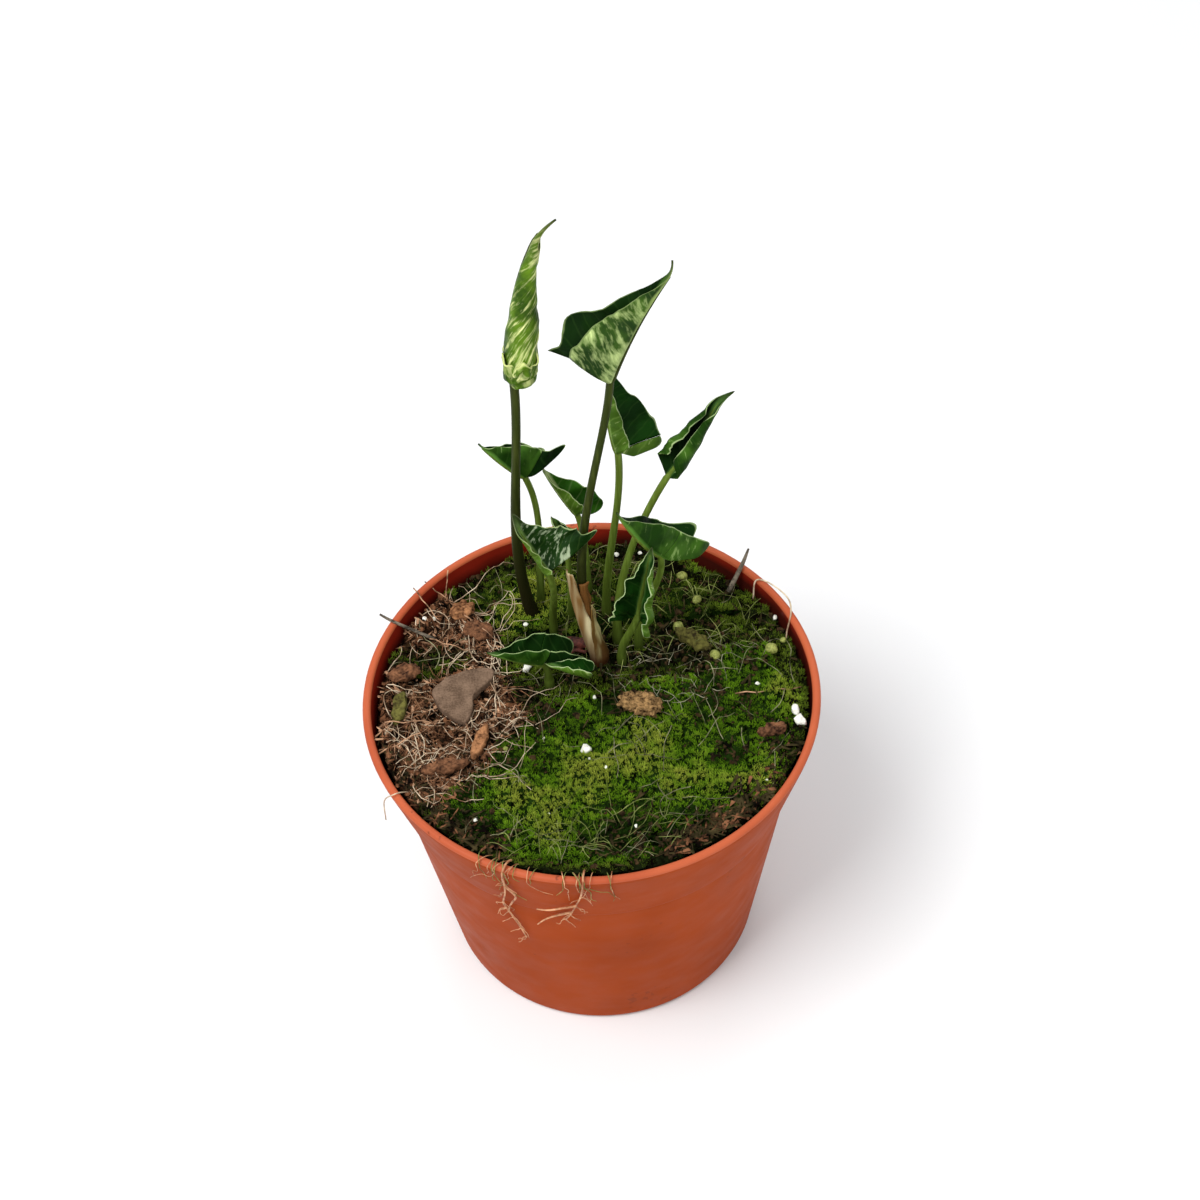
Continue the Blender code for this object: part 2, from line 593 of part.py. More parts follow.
def make_soil(group, cutters):
    """The root ball: a turned plug inside the pot with an uneven top, grains in it and a hole for each stalk."""
    low = CHANNEL_LIFT + FLOOR + CLEAR
    shoulder = COLLAR_RADIUS - COLLAR_STEP - WALL - CLEAR
    spare = WALL + CLEAR + 0.3
    edge = wall_radius(SOIL_LEVEL) - spare
    top = [(edge * (i / SOIL_RINGS) ** 0.9, SOIL_LEVEL) for i in range(SOIL_RINGS + 1)]
    profile = (*top, (shoulder, COLLAR_FOOT - 1.6), (BASE_RADIUS - WALL - CLEAR - 0.2, low), (0.0, low))
    soil = turned("soil", profile, SOIL_STEPS, group)
    for vert in soil.data.vertices:
        if vert.co.z > (SOIL_LEVEL - 1) * MM:
            height = soil_height(vert.co.x / MM, vert.co.y / MM)
            inwards = (wall_radius(height) - spare) / edge
            vert.co = Vector((vert.co.x * inwards, vert.co.y * inwards, height * MM))
    draw = random.Random(SEED)
    grains = []
    for x, y, radius in GRAINS:
        bm = bmesh.new()
        bmesh.ops.create_icosphere(bm, subdivisions=1, radius=radius * MM)
        for vert in bm.verts:
            vert.co *= draw.uniform(0.82, 1.15)
        bmesh.ops.translate(bm, verts=bm.verts, vec=Vector((x, y, soil_height(x, y) + radius * 0.25)) * MM)
        grains.append(new_object("grain", mesh_of(bm, "grain"), group))
    boolean(soil, grains, "UNION", cutters)
    boolean(soil, stalk_holes(LEAVES, group), "DIFFERENCE", cutters)
    return finish(soil, "soil", 60)


def stalk_holes(leaves, group):
    """Upright cutters, a little wider than the stalks that stand in them."""
    holes = []
    for leaf in leaves:
        place = (*leaf.foot, soil_height(*leaf.foot) + 0.5)
        holes.append(cylinder("hole", place, leaf.stalk[0] + HOLE_PLAY, 2 * HOLE_DEPTH + 1, 12, group))
    return holes


def moss_mat(name, columns, rows, place, group):
    """A cushion on the soil: place(i, j) gives a corner's x and y, and it swells between its edges."""
    bm = bmesh.new()
    grid = bmesh.ops.create_grid(bm, x_segments=columns, y_segments=rows, size=0.5)["verts"]
    swell = {}
    for vert in grid:
        i = round((vert.co.x + 0.5) * columns)
        j = round((vert.co.y + 0.5) * rows)
        x, y = place(i / columns, j / rows)
        vert.co = Vector((x, y, soil_height(x, y) + MOSS_GAP)) * MM
        inner = min(i, columns - i, j, rows - j) > 0
        swell[vert] = moss_rise(x, y) if inner else MOSS_THICK * 0.45
    bmesh.ops.triangulate(bm, faces=bm.faces)
    low = {vert: vert.co.copy() for vert in grid}
    raised = bmesh.ops.extrude_face_region(bm, geom=bm.faces[:])["geom"]
    for vert in (item for item in raised if isinstance(item, bmesh.types.BMVert)):
        under = min(low, key=lambda other: (low[other] - vert.co).length)
        vert.co.z += swell[under] * MM
    bmesh.ops.recalc_face_normals(bm, faces=bm.faces)
    return new_object(name, mesh_of(bm, name), group)


def make_moss(group, cutters):
    """Bright moss over the front and right of the soil, and dark moss behind the stalks."""
    def front(u, v):
        x = FRONT_MOSS_X[0] + (FRONT_MOSS_X[1] - FRONT_MOSS_X[0]) * u
        return x, front_rim(x) + (between(FRONT_MOSS_BACK, x) - front_rim(x)) * v

    def back(u, v):
        x = BACK_MOSS_X[0] + (BACK_MOSS_X[1] - BACK_MOSS_X[0]) * u
        near = between(BACK_MOSS_FRONT, x)
        return x, near + (-front_rim(x) - near) * v

    finish(moss_mat("moss_front", 14, 7, front, group), "moss", 60)
    mat = moss_mat("moss_back", 12, 4, back, group)
    inside = [leaf for leaf in LEAVES if leaf.foot[1] > between(BACK_MOSS_FRONT, leaf.foot[0]) - 3]
    boolean(mat, stalk_holes(inside, group), "DIFFERENCE", cutters)
    finish(mat, "moss_dark", 60)


def make_stone(group):
    """The flake: its outline extruded, with worn edges, resting on the soil's highest point under it."""
    data = bpy.data.curves.new("stone_flake", "CURVE")
    data.dimensions = "2D"
    data.fill_mode = "BOTH"
    data.extrude = STONE_THICK / 2 * MM
    line = data.splines.new("POLY")
    line.points.add(len(STONE_OUTLINE) - 1)
    line.use_cyclic_u = True
    for point, (x, y) in zip(line.points, STONE_OUTLINE):
        point.co = (x * MM, y * MM, 0.0, 1.0)
    curve = new_object("stone_outline", data, group)
    bm = bmesh.new()
    bm.from_mesh(apply_to_mesh(curve))
    bpy.data.objects.remove(curve)
    bmesh.ops.remove_doubles(bm, verts=bm.verts, dist=1e-6)
    bmesh.ops.recalc_face_normals(bm, faces=bm.faces)
    lying = max(soil_height(x, y) for x, y in STONE_OUTLINE) + CLEAR + STONE_THICK / 2
    bmesh.ops.translate(bm, verts=bm.verts, vec=(0, 0, lying * MM))
    stone = new_object("stone_flake", mesh_of(bm, "stone_flake"), group)
    worn = stone.modifiers.new("Worn edges", "BEVEL")
    worn.width = STONE_BEVEL * MM
    worn.segments = 1
    worn.limit_method = "ANGLE"
    return finish(apply_modifiers(stone), "stone", 30)


def make_chips(group):
    """Bark chips: uneven pebbles of bark lying on the soil or on the moss."""
    draw = random.Random(SEED)
    for name, (x, y), length, width, thick, turn, colour in CHIPS:
        bm = bmesh.new()
        bmesh.ops.create_icosphere(bm, subdivisions=2, radius=0.5)
        for vert in bm.verts:
            vert.co *= draw.uniform(0.86, 1.12)
            flat = math.copysign(min(abs(vert.co.z), 0.34) / 0.34, vert.co.z)
            vert.co = Vector((vert.co.x * length, vert.co.y * width, flat * thick / 2))
        spin = Matrix.Rotation(math.radians(turn), 3, "Z")
        bmesh.ops.rotate(bm, verts=bm.verts, cent=(0, 0, 0), matrix=spin)
        under = max(ground(x + vert.co.x, y + vert.co.y) for vert in bm.verts)
        lying = under + CLEAR + thick / 2
        bmesh.ops.translate(bm, verts=bm.verts, vec=(x, y, lying))
        bmesh.ops.scale(bm, verts=bm.verts, vec=(MM, MM, MM))
        finish(new_object(name, mesh_of(bm, name), group), colour, 50)


def make_sheath(group):
    """The dried sheath: a strip wrapped part way round the tall stalk, narrowing to a free tip."""
    leaf = LEAVES[1]
    points, radii = stalk_route(leaf, Blade(leaf))
    rows, columns = 8, 6

    def place(i, j):
        share = i / rows
        height = SHEATH_BOTTOM + (SHEATH_TOP - SHEATH_BOTTOM) * share
        k = next(n for n in range(1, len(points)) if points[n].z >= height)
        part = (height - points[k - 1].z) / (points[k].z - points[k - 1].z)
        centre = points[k - 1].lerp(points[k], part)
        radius = radii[k - 1] + (radii[k] - radii[k - 1]) * part + SHEATH_GAP + SHEATH_WALL
        half_turn = SHEATH_HALF_TURN[0] + (SHEATH_HALF_TURN[1] - SHEATH_HALF_TURN[0]) * share**1.4
        angle = math.radians(SHEATH_FACING + half_turn * (2 * j / columns - 1))
        facing = math.radians(SHEATH_FACING)
        lean = SHEATH_LEAN * share**2
        x = centre.x + radius * math.cos(angle) + lean * math.cos(facing)
        y = centre.y + radius * math.sin(angle) + lean * math.sin(facing)
        return Vector((x, y, height))

    bm = bmesh.new()
    add_patch(bm, rows, columns, place)
    bmesh.ops.triangulate(bm, faces=bm.faces)
    bmesh.ops.recalc_face_normals(bm, faces=bm.faces)
    facing = Vector((math.cos(math.radians(SHEATH_FACING)), math.sin(math.radians(SHEATH_FACING)), 0))
    if sum(face.normal.dot(facing) for face in bm.faces) < 0:
        bmesh.ops.reverse_faces(bm, faces=bm.faces)
    sheath = new_object("dry_sheath", mesh_of(bm, "dry_sheath"), group)
    shell = sheath.modifiers.new("Thickness", "SOLIDIFY")
    shell.thickness = SHEATH_WALL * MM
    shell.offset = -1.0
    return finish(apply_modifiers(sheath), "sheath", 60)


def make_old_stem(group):
    """The stub of an old stem, lying on the soil between the stalks."""
    points = [(x, y, soil_height(x, y) + radius + CLEAR + 0.3) for x, y, radius in OLD_STEM]
    return finish(tube("old_stem", points, [radius for _, _, radius in OLD_STEM], group), "old_stem", 60)


def make_roots(name, runs, group, cutters):
    """Roots over the rim: the first run leaves the pot and the others branch from it."""
    tubes = []
    for n, run in enumerate(runs):
        points, radii = [], []
        for i, (angle, height, off) in enumerate(run):
            share = i / (len(run) - 1)
            radius = ROOT_RADIUS + (ROOT_END - ROOT_RADIUS) * share
            out = wall_radius(min(height, RIM_HEIGHT)) + off
            if off > 0:
                out += radius + ROOT_GAP
            turn = math.radians(angle)
            points.append((out * math.cos(turn), out * math.sin(turn), height))
            radii.append(radius)
        tubes.append(tube(name if n == 0 else f"{name}_{n}", points, radii, group))
    boolean(tubes[0], tubes[1:], "UNION", cutters)
    return finish(tubes[0], "root", 60)


def make_twigs(group):
    for name, run in TWIGS.items():
        points = [(x, y, z or ground(x, y) + radius + CLEAR) for x, y, z, radius in run]
        finish(tube(name, points, [radius for *_, radius in run], group), "twig", 60)


def main():
    clear_scene()
    group = collection("arrowhead_plant_in_pot")
    cutters = collection("cutters")
    make_pot(group, cutters)
    make_soil(group, cutters)
    make_moss(group, cutters)
    for leaf in LEAVES:
        make_leaf(leaf, group, cutters)
    make_sheath(group)
    make_old_stem(group)
    make_stone(group)
    make_chips(group)
    make_roots("roots_front_left", LEFT_ROOTS, group, cutters)
    make_roots("roots_front_right", RIGHT_ROOTS, group, cutters)
    make_twigs(group)


if __name__ == "__main__":
    main()
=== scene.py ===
"""Looks of a young arrowhead plant in its nursery pot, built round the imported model.

Sizes are in millimetres and are multiplied by MM. The origin is the middle of the pot's underside,
+Z is up and the plant is seen from -Y. The forms follow the same formulas as the solids, only finer.
"""

import logging
import math
import random
from dataclasses import dataclass
from enum import Enum
from typing import Callable

import bmesh
import bpy
from mathutils import Matrix, Vector, noise


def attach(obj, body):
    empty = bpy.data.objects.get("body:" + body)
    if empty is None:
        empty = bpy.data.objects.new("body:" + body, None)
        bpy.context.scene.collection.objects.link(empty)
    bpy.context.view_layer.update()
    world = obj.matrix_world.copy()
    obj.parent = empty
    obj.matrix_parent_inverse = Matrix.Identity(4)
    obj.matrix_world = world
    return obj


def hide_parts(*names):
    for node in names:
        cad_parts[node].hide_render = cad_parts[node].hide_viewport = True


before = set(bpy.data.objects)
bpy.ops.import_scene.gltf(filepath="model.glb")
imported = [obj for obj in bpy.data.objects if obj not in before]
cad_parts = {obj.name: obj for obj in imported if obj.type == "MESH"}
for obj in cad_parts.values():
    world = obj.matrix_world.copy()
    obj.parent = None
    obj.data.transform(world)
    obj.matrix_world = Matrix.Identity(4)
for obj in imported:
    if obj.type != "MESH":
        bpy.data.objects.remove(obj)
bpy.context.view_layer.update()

LOG = logging.getLogger("arrowhead_plant")
MM = 0.001
SEED = 7
# Refractive index typical of plastics, wax, wood and glass alike
IOR = 1.45

Pair = tuple[float, float]
Place = tuple[float, float, float]
Run = list[tuple[Vector, float]]
Socket = bpy.types.NodeSocket
Tree = bpy.types.NodeTree
Painted = tuple[Socket, Socket | None, Socket]

# Pot and root ball, as in the solids
RIM_RADIUS = 60.0
RIM_HEIGHT = 93.5
RIM_LIP = 2.2
LIP_FOOT = 89.1
COLLAR_FOOT = 69.5
COLLAR_RADIUS = 54.0
COLLAR_STEP = 0.7
BASE_RADIUS = 42.5
WALL = 1.1
FLOOR = 1.3
FOOT_WIDTH = 4.5
CHANNEL_LIFT = 2.4
CENTRE_RADIUS = 12.0
DRAIN_RADIUS = 3.6
DRAIN_RING = 26.0
DRAIN_COUNT = 6
CLEAR = 0.35
SOIL_LEVEL = 87.6
SOIL_TILT = 0.045
SOIL_DROP = 70.0
BANK = 4.2
HOLE_DEPTH = 6.5
STALK_RISE = 3.0
MOSS_GAP = 0.8
MOSS_THICK = 1.6
MOSS_SWELL = 0.9
MOSS_RIM = 54.8
FRONT_MOSS_X = (-42.5, 53.0)
FRONT_MOSS_BACK = ((-42.5, -30.5), (-33.5, -26.0), (-25.0, -11.0), (-14.0, -0.5), (0.0, 2.0), (13.0, 3.5),
                   (29.0, 10.0), (41.0, 17.0), (47.0, 15.0), (53.0, -5.0))
BACK_MOSS_X = (-36.5, 44.0)
BACK_MOSS_FRONT = ((-36.5, 38.2), (-28.0, 37.0), (-22.5, 29.0), (-16.0, 25.0), (-4.0, 23.5), (8.0, 26.5),
                   (22.0, 28.0), (44.0, 29.0))
# Bare fibrous peat at the left: right edge of that patch as (y, x)
PEAT_EDGE = ((-36.0, -50.0), (-28.0, -37.0), (-20.0, -29.0), (-11.0, -23.0), (-4.0, -15.0), (5.0, -19.0),
             (14.0, -24.0), (26.0, -23.0), (34.0, -29.0), (42.0, -38.0))

# Where the moss grows thick or thin: x, y, reach and how much
LUSH = ((11.8, -13.8, 9.0, 0.45), (23.7, -27.5, 13.0, 0.5), (35.0, -21.0, 6.5, -0.3), (0.6, -28.8, 8.0, 0.35),
        (-19.8, -30.3, 9.0, 0.45), (-10.0, -40.4, 10.0, 0.45), (-5.0, -22.0, 8.0, 0.3), (-13.0, 38.0, 8.0, 0.9),
        (-22.5, 29.0, 5.0, 0.5), (-3.3, -4.3, 5.0, 0.4), (-31.5, 41.6, 6.0, 0.05), (41.5, 24.6, 7.0, 0.15),
        (49.3, -3.6, 6.0, 0.35), (41.5, -29.0, 8.0, 0.4), (38.0, 5.0, 8.0, 0.15), (19.2, 15.9, 10.0, -0.12),
        (4.8, -44.6, 7.0, -0.3), (-19.3, -11.2, 7.0, -0.1), (-35.0, -40.0, 8.0, -0.2), (10.0, -3.0, 5.0, -0.25),
        (34.4, -46.0, 8.0, -0.6), (20.0, -50.0, 8.0, -0.3))

# Blade mapping, as in the solids
BLADE = 0.5
KEEL_SHARE = 0.16
ROLL_RADIUS = 1.25
WAVE_WIDTH = 5.0
OUTLINE = ((0.0, 1.0), (0.2, 0.94), (0.4, 0.74), (0.6, 0.45), (0.78, 0.19), (0.9, 0.055), (1.0, 0.0))
# Control points of a lobe's edge: shares of its length and of the half width beside them
LOBE_CURVE = ((0.0, 1.0), (-0.62, 1.04), (-1.16, 1.05), (-0.86, 0.42))
BODY_STEPS = 44
LOBE_STEPS = 18
HALF_STEPS = 18
STALK_STEPS = 40
MIDRIB_END = 0.3
# Thickness of a margin against the blade's, and where along the midrib the upper side is told from the lower
MARGIN_SHARE = 0.35
LIKELY_UP = 0.35


def linear(code: str) -> tuple[float, float, float, float]:
    """Turn an sRGB hex value into a linear colour.

    Args:
        code: The colour as #RRGGBB.

    Returns:
        Red, green, blue and an alpha of 1.
    """
    shares = [int(code[i:i + 2], 16) / 255 for i in (1, 3, 5)]
    return (*[s / 12.92 if s <= 0.04045 else ((s + 0.055) / 1.055) ** 2.4 for s in shares], 1.0)


def per_metre(size_mm: float) -> float:
    """The texture scale that gives features of a size in millimetres on Object coordinates."""
    return 1000.0 / size_mm


def add(tree: Tree, kind: str, links: dict, out: int | str = 0, stops: tuple = (), **settings) -> Socket:
    """Add a node with its settings and links.

    Args:
        tree: The material's node tree.
        kind: The node's type name after "ShaderNode".
        links: For each input, by name or number, a socket to link or a value to set, colours as #RRGGBB.
        out: The output to return, by name or number.
        stops: Places and colours of a colour ramp.
        settings: Properties of the node.

    Returns:
        That output of the new node.
    """
    node = tree.nodes.new("ShaderNode" + kind)
    for name, value in settings.items():
        setattr(node, name, value)
    for socket, source in links.items():
        if isinstance(source, Socket):
            tree.links.new(source, node.inputs[socket])
        else:
            node.inputs[socket].default_value = linear(source) if isinstance(source, str) else source
    if stops:
        ends = node.color_ramp.elements
        for i, (place, colour) in enumerate((stops[0], stops[-1])):
            ends[i].position, ends[i].color = place, linear(colour)
        for place, colour in stops[1:-1]:
            ends.new(place).color = linear(colour)
    return node.outputs[out]


@dataclass(frozen=True)
class Finish:
    """A surface: its name, how glossy it is and how deep its relief is in millimetres."""

    name: str
    roughness: float = 0.5
    specular: float = 0.5
    relief: float = 0.1

    def paint(self, tree: Tree, place: Socket) -> Painted:
        """Make the pattern.

        Args:
            tree: The material's node tree.
            place: Object coordinates in metres.

        Returns:
            Sockets of the colour, the roughness, which may be None, and the height.
        """
        raise NotImplementedError

    def material(self) -> bpy.types.Material:
        """Return this finish's material, made at the first call.

        Returns:
            The material.
        """
        found = bpy.data.materials.get(self.name)
        if found:
            return found
        made = bpy.data.materials.new(self.name)
        made.use_nodes = True
        tree = made.node_tree
        shader = tree.nodes["Principled BSDF"].inputs
        for socket, value in (("IOR", IOR), ("Specular IOR Level", self.specular), ("Roughness", self.roughness)):
            shader[socket].default_value = value
        colour, rough, height = self.paint(tree, add(tree, "TexCoord", {}, "Object"))
        tree.links.new(colour, shader["Base Color"])
        if rough:
            tree.links.new(rough, shader["Roughness"])
        bump = add(tree, "Bump", {"Height": height, "Distance": self.relief * MM, "Strength": 1.0})
        tree.links.new(bump, shader["Normal"])
        return made


@dataclass(frozen=True)
class MouldedPolypropylene(Finish):
    """Injection moulded polypropylene, coloured through: satin, a little cloudy, with scuffs and specks of soil."""

    body: str = "#A04010"
    cloud: str = "#943A0E"
    soiled: str = "#4A2418"
    # Near-black colour below the soil line: a soil stain and painted shade
    soil_stain_and_shade: str = "#1C0D08"
    speck_share: float = 0.3
    soil_line: float = -20.0
    slope: float = -0.045

    def paint(self, tree: Tree, place: Socket) -> Painted:
        """Clouds 30 mm across, scuffs, sparse soil specks, and, where there is a soil line, a near-black stain of soil
        and painted shade up to it, reaching higher towards +x.

        Args:
            tree: The material's node tree.
            place: Object coordinates in metres.

        Returns:
            Sockets of the colour, the roughness or None, and the height.
        """
        clouds = add(tree, "TexNoise", {"Vector": place, "Scale": per_metre(28), "Detail": 4.0})
        cloudy = add(tree, "ValToRGB", {0: clouds}, stops=((0.4, self.body), (0.68, self.cloud)))
        specks = add(tree, "TexNoise", {"Vector": place, "Scale": per_metre(2.2), "Detail": 2.0})
        area = add(tree, "TexNoise", {"Vector": place, "Scale": per_metre(16), "Detail": 1.0})
        sparse = add(tree, "Math", {0: specks, 1: area}, operation="MULTIPLY")
        dots = add(tree, "ValToRGB", {0: sparse}, stops=((0.43, "#000000"), (0.47, "#FFFFFF")))
        weak = add(tree, "Math", {0: dots, 1: self.speck_share}, operation="MULTIPLY")
        soiled = add(tree, "Mix", {0: weak, 6: cloudy, 7: self.soiled}, 2, data_type="RGBA")
        x, _, z = add(tree, "SeparateXYZ", {0: place}).node.outputs
        shady = add(tree, "Math", {0: x, 1: self.slope, 2: z}, operation="MULTIPLY_ADD")
        ragged = add(tree, "Math", {0: area, 1: 6 * MM, 2: shady}, operation="MULTIPLY_ADD")
        line = add(tree, "MapRange", {"Value": ragged, "From Min": (self.soil_line + 1.0) * MM,
                                      "From Max": (self.soil_line + 5.0) * MM, "To Min": 0.85, "To Max": 0.0})
        # Up to the soil line the wall turns to the near-black soil stain and painted shade, higher towards +x
        stained_and_shaded = add(tree, "Mix", {0: line, 6: soiled, 7: self.soil_stain_and_shade}, 2, data_type="RGBA")
        stretch = add(tree, "Mapping", {"Vector": place, "Scale": (1.0, 1.0, 1.6)})
        scuffs = add(tree, "TexNoise", {"Vector": stretch, "Scale": per_metre(9), "Detail": 5.0})
        rough = add(tree, "MapRange", {"Value": scuffs, "From Min": 0.3, "From Max": 0.7,
                                       "To Min": self.roughness - 0.07, "To Max": self.roughness + 0.1})
        return stained_and_shaded, rough, scuffs


@dataclass(frozen=True)
class Grainy(Finish):
    """A dry natural surface in two colours, mottled at one size and grainy at a finer one."""

    dark: str = "#2A1D14"
    light: str = "#6B4A30"
    patch: float = 4.0
    grain: float = 0.7
    split: Pair = (0.38, 0.62)

    def paint(self, tree: Tree, place: Socket) -> Painted:
        """Patches and grain at their sizes in millimetres, mixed between the two colours.

        Args:
            tree: The material's node tree.
            place: Object coordinates in metres.

        Returns:
            Sockets of the colour, the roughness or None, and the height.
        """
        patches = add(tree, "TexNoise", {"Vector": place, "Scale": per_metre(self.patch), "Detail": 3.0})
        grains = add(tree, "TexNoise", {"Vector": place, "Scale": per_metre(self.grain), "Detail": 4.0})
        both = add(tree, "Mix", {0: 0.45, 2: patches, 3: grains})
        colour = add(tree, "ValToRGB", {0: both}, stops=tuple(zip(self.split, (self.dark, self.light))))
        return colour, None, grains


@dataclass(frozen=True)
class PeatAndMoss(Finish):
    """Moist peat: brown fibre in the bare patch, nearly black green under the moss; its near-black colour, deep, is
    partly the peat's own and partly painted shade in the gaps.
    """

    brown: str = "#4A3020"
    # Nearly black: the peat's own dark and painted shade in the gaps between crumbs
    deep: str = "#080503"
    green: str = "#1C2410"

    def paint(self, tree: Tree, place: Socket) -> Painted:
        """Crumbs 2.4 mm across and finer; the attribute 'bare' says where the brown fibre lies open.

        Args:
            tree: The material's node tree.
            place: Object coordinates in metres.

        Returns:
            Sockets of the colour, the roughness or None, and the height.
        """
        crumbs = add(tree, "TexNoise", {"Vector": place, "Scale": per_metre(2.4), "Detail": 6.0, "Roughness": 0.7})
        bare = add(tree, "Attribute", {}, "Fac", attribute_name="bare")
        brown = add(tree, "ValToRGB", {0: crumbs}, stops=((0.42, self.deep), (0.62, self.brown)))
        green = add(tree, "ValToRGB", {0: crumbs}, stops=((0.45, self.deep), (0.65, self.green)))
        return add(tree, "Mix", {0: bare, 6: green, 7: brown}, 2, data_type="RGBA"), None, crumbs


@dataclass(frozen=True)
class Moss(Finish):
    """Cushion moss: shaded at the foot of each shoot, bright at its tip, in patches of three greens."""

    shade: str = "#0A1003"
    deep: str = "#2C4A10"
    bright: str = "#84B622"
    yellow: str = "#C6D450"

    def paint(self, tree: Tree, place: Socket) -> Painted:
        """Patches 8 mm across broken up at 2 mm, added to how lush the moss is where the shoot stands.

        Args:
            tree: The material's node tree.
            place: Object coordinates in metres.

        Returns:
            Sockets of the colour, the roughness or None, and the height.
        """
        patches = add(tree, "TexNoise", {"Vector": place, "Scale": per_metre(8), "Detail": 4.0, "Roughness": 0.62})
        fine = add(tree, "TexNoise", {"Vector": place, "Scale": per_metre(1.9), "Detail": 2.0})
        both = add(tree, "Mix", {0: 0.4, 2: patches, 3: fine})
        lush = add(tree, "Attribute", {}, "Fac", attribute_name="lush")
        tone = add(tree, "Mix", {0: 0.55, 2: both, 3: lush})
        colour = add(tree, "ValToRGB", {0: tone}, stops=((0.3, self.deep), (0.52, self.bright), (0.72, self.yellow)))
        tip = add(tree, "Attribute", {}, "Fac", attribute_name="tip")
        return add(tree, "Mix", {0: tip, 6: self.shade, 7: colour}, 2, data_type="RGBA"), None, fine


@dataclass(frozen=True)
class LeafSkin(Finish):
    """Waxy skin of one side of a blade, with side veins, pale mottling that follows them and a cream margin.

    mottle is how much is pale beside the midrib at the stalk, fade how much less at the margin and run
    how much less 100 mm along. The attribute 'blade' holds millimetres across and along, and the share
    of the way to the margin.
    """

    dark: str = "#1F3F1E"
    mid: str = "#2E5A29"
    pale: str = "#A9B98C"
    margin: str = "#C6C79B"
    rib: str = "#7F9A5A"
    mottle: float = 0.1
    fade: float = 0.1
    run: float = 0.3
    vein_spacing: float = 4.4
    vein_share: float = 0.35
    streak: Pair = (2.2, 5.0)
    slant: float = 0.85
    margin_from: float = 0.984
    tip: str = "#1C1F0C"
    tip_from: float = 0.82
    pale_from: float = 0.56
    soft: float = 0.12
    patchy: float = 0.3

    def paint(self, tree: Tree, place: Socket) -> Painted:
        """Veins every few millimetres slanting forward, streaks between them, midrib, margin and brown tip.

        Args:
            tree: The material's node tree.
            place: Object coordinates in metres.

        Returns:
            Sockets of the colour, the roughness or None, and the height.
        """
        blade = add(tree, "Attribute", {}, "Vector", attribute_name="blade")
        across, along, edge = add(tree, "SeparateXYZ", {0: blade}).node.outputs
        away = add(tree, "Math", {0: across}, operation="ABSOLUTE")
        slant = add(tree, "Math", {0: away, 1: -self.slant, 2: along}, operation="MULTIPLY_ADD")
        waver = add(tree, "TexNoise", {"Vector": place, "Scale": per_metre(9), "Detail": 2.0})
        drift = add(tree, "Math", {0: waver, 1: 5.0, 2: slant}, operation="MULTIPLY_ADD")
        saw = add(tree, "Math", {0: drift, 1: self.vein_spacing / 2}, operation="PINGPONG")
        vein = add(tree, "MapRange", {"Value": saw, "From Min": 0.0, "From Max": 0.42, "To Min": 1.0, "To Max": 0.0})
        short, long = self.streak
        over = add(tree, "Math", {0: drift, 1: 1 / short}, operation="MULTIPLY")
        out = add(tree, "Math", {0: across, 1: 1 / long}, operation="MULTIPLY")
        flat = add(tree, "CombineXYZ", {0: over, 1: out})
        clots = add(tree, "TexNoise", {"Vector": flat, "Scale": 1.0, "Detail": 4.0, "Roughness": 0.6})
        tone = add(tree, "TexNoise", {"Vector": place, "Scale": per_metre(7), "Detail": 3.0})
        bias = self.mottle - self.patchy / 2
        for source, factor in ((tone, self.patchy), (edge, -self.fade), (along, -self.run / 100)):
            bias = add(tree, "Math", {0: source, 1: factor, 2: bias}, operation="MULTIPLY_ADD")
        amount = add(tree, "Math", {0: clots, 1: bias}, operation="ADD")
        pale = add(tree, "MapRange", {"Value": amount, "From Min": self.pale_from,
                                      "From Max": self.pale_from + self.soft})
        faint = add(tree, "Math", {0: vein, 1: self.vein_share}, operation="MULTIPLY")
        middle = add(tree, "MapRange", {"Value": away, "From Min": 0.35, "From Max": 1.0, "To Min": 0.9,
                                        "To Max": 0.0})
        ragged = add(tree, "Math", {0: tone, 1: 0.09, 2: edge}, operation="MULTIPLY_ADD")
        rim = add(tree, "MapRange", {"Value": ragged, "From Min": self.margin_from + 0.03,
                                     "From Max": self.margin_from + 0.055})
        tipward = add(tree, "Attribute", {}, "Fac", attribute_name="tipward")
        ending = add(tree, "MapRange", {"Value": tipward, "From Min": self.tip_from, "From Max": 1.0,
                                        "To Max": 0.92})
        colour = add(tree, "ValToRGB", {0: tone}, stops=((0.38, self.dark), (0.64, self.mid)))
        for share, layer in ((pale, self.pale), (faint, self.rib), (middle, self.rib), (rim, self.margin),
                             (ending, self.tip)):
            colour = add(tree, "Mix", {0: share, 6: colour, 7: layer}, 2, data_type="RGBA")
        quilt = add(tree, "Math", {0: saw, 1: 0.35, 2: clots}, operation="MULTIPLY_ADD")
        return colour, None, quilt


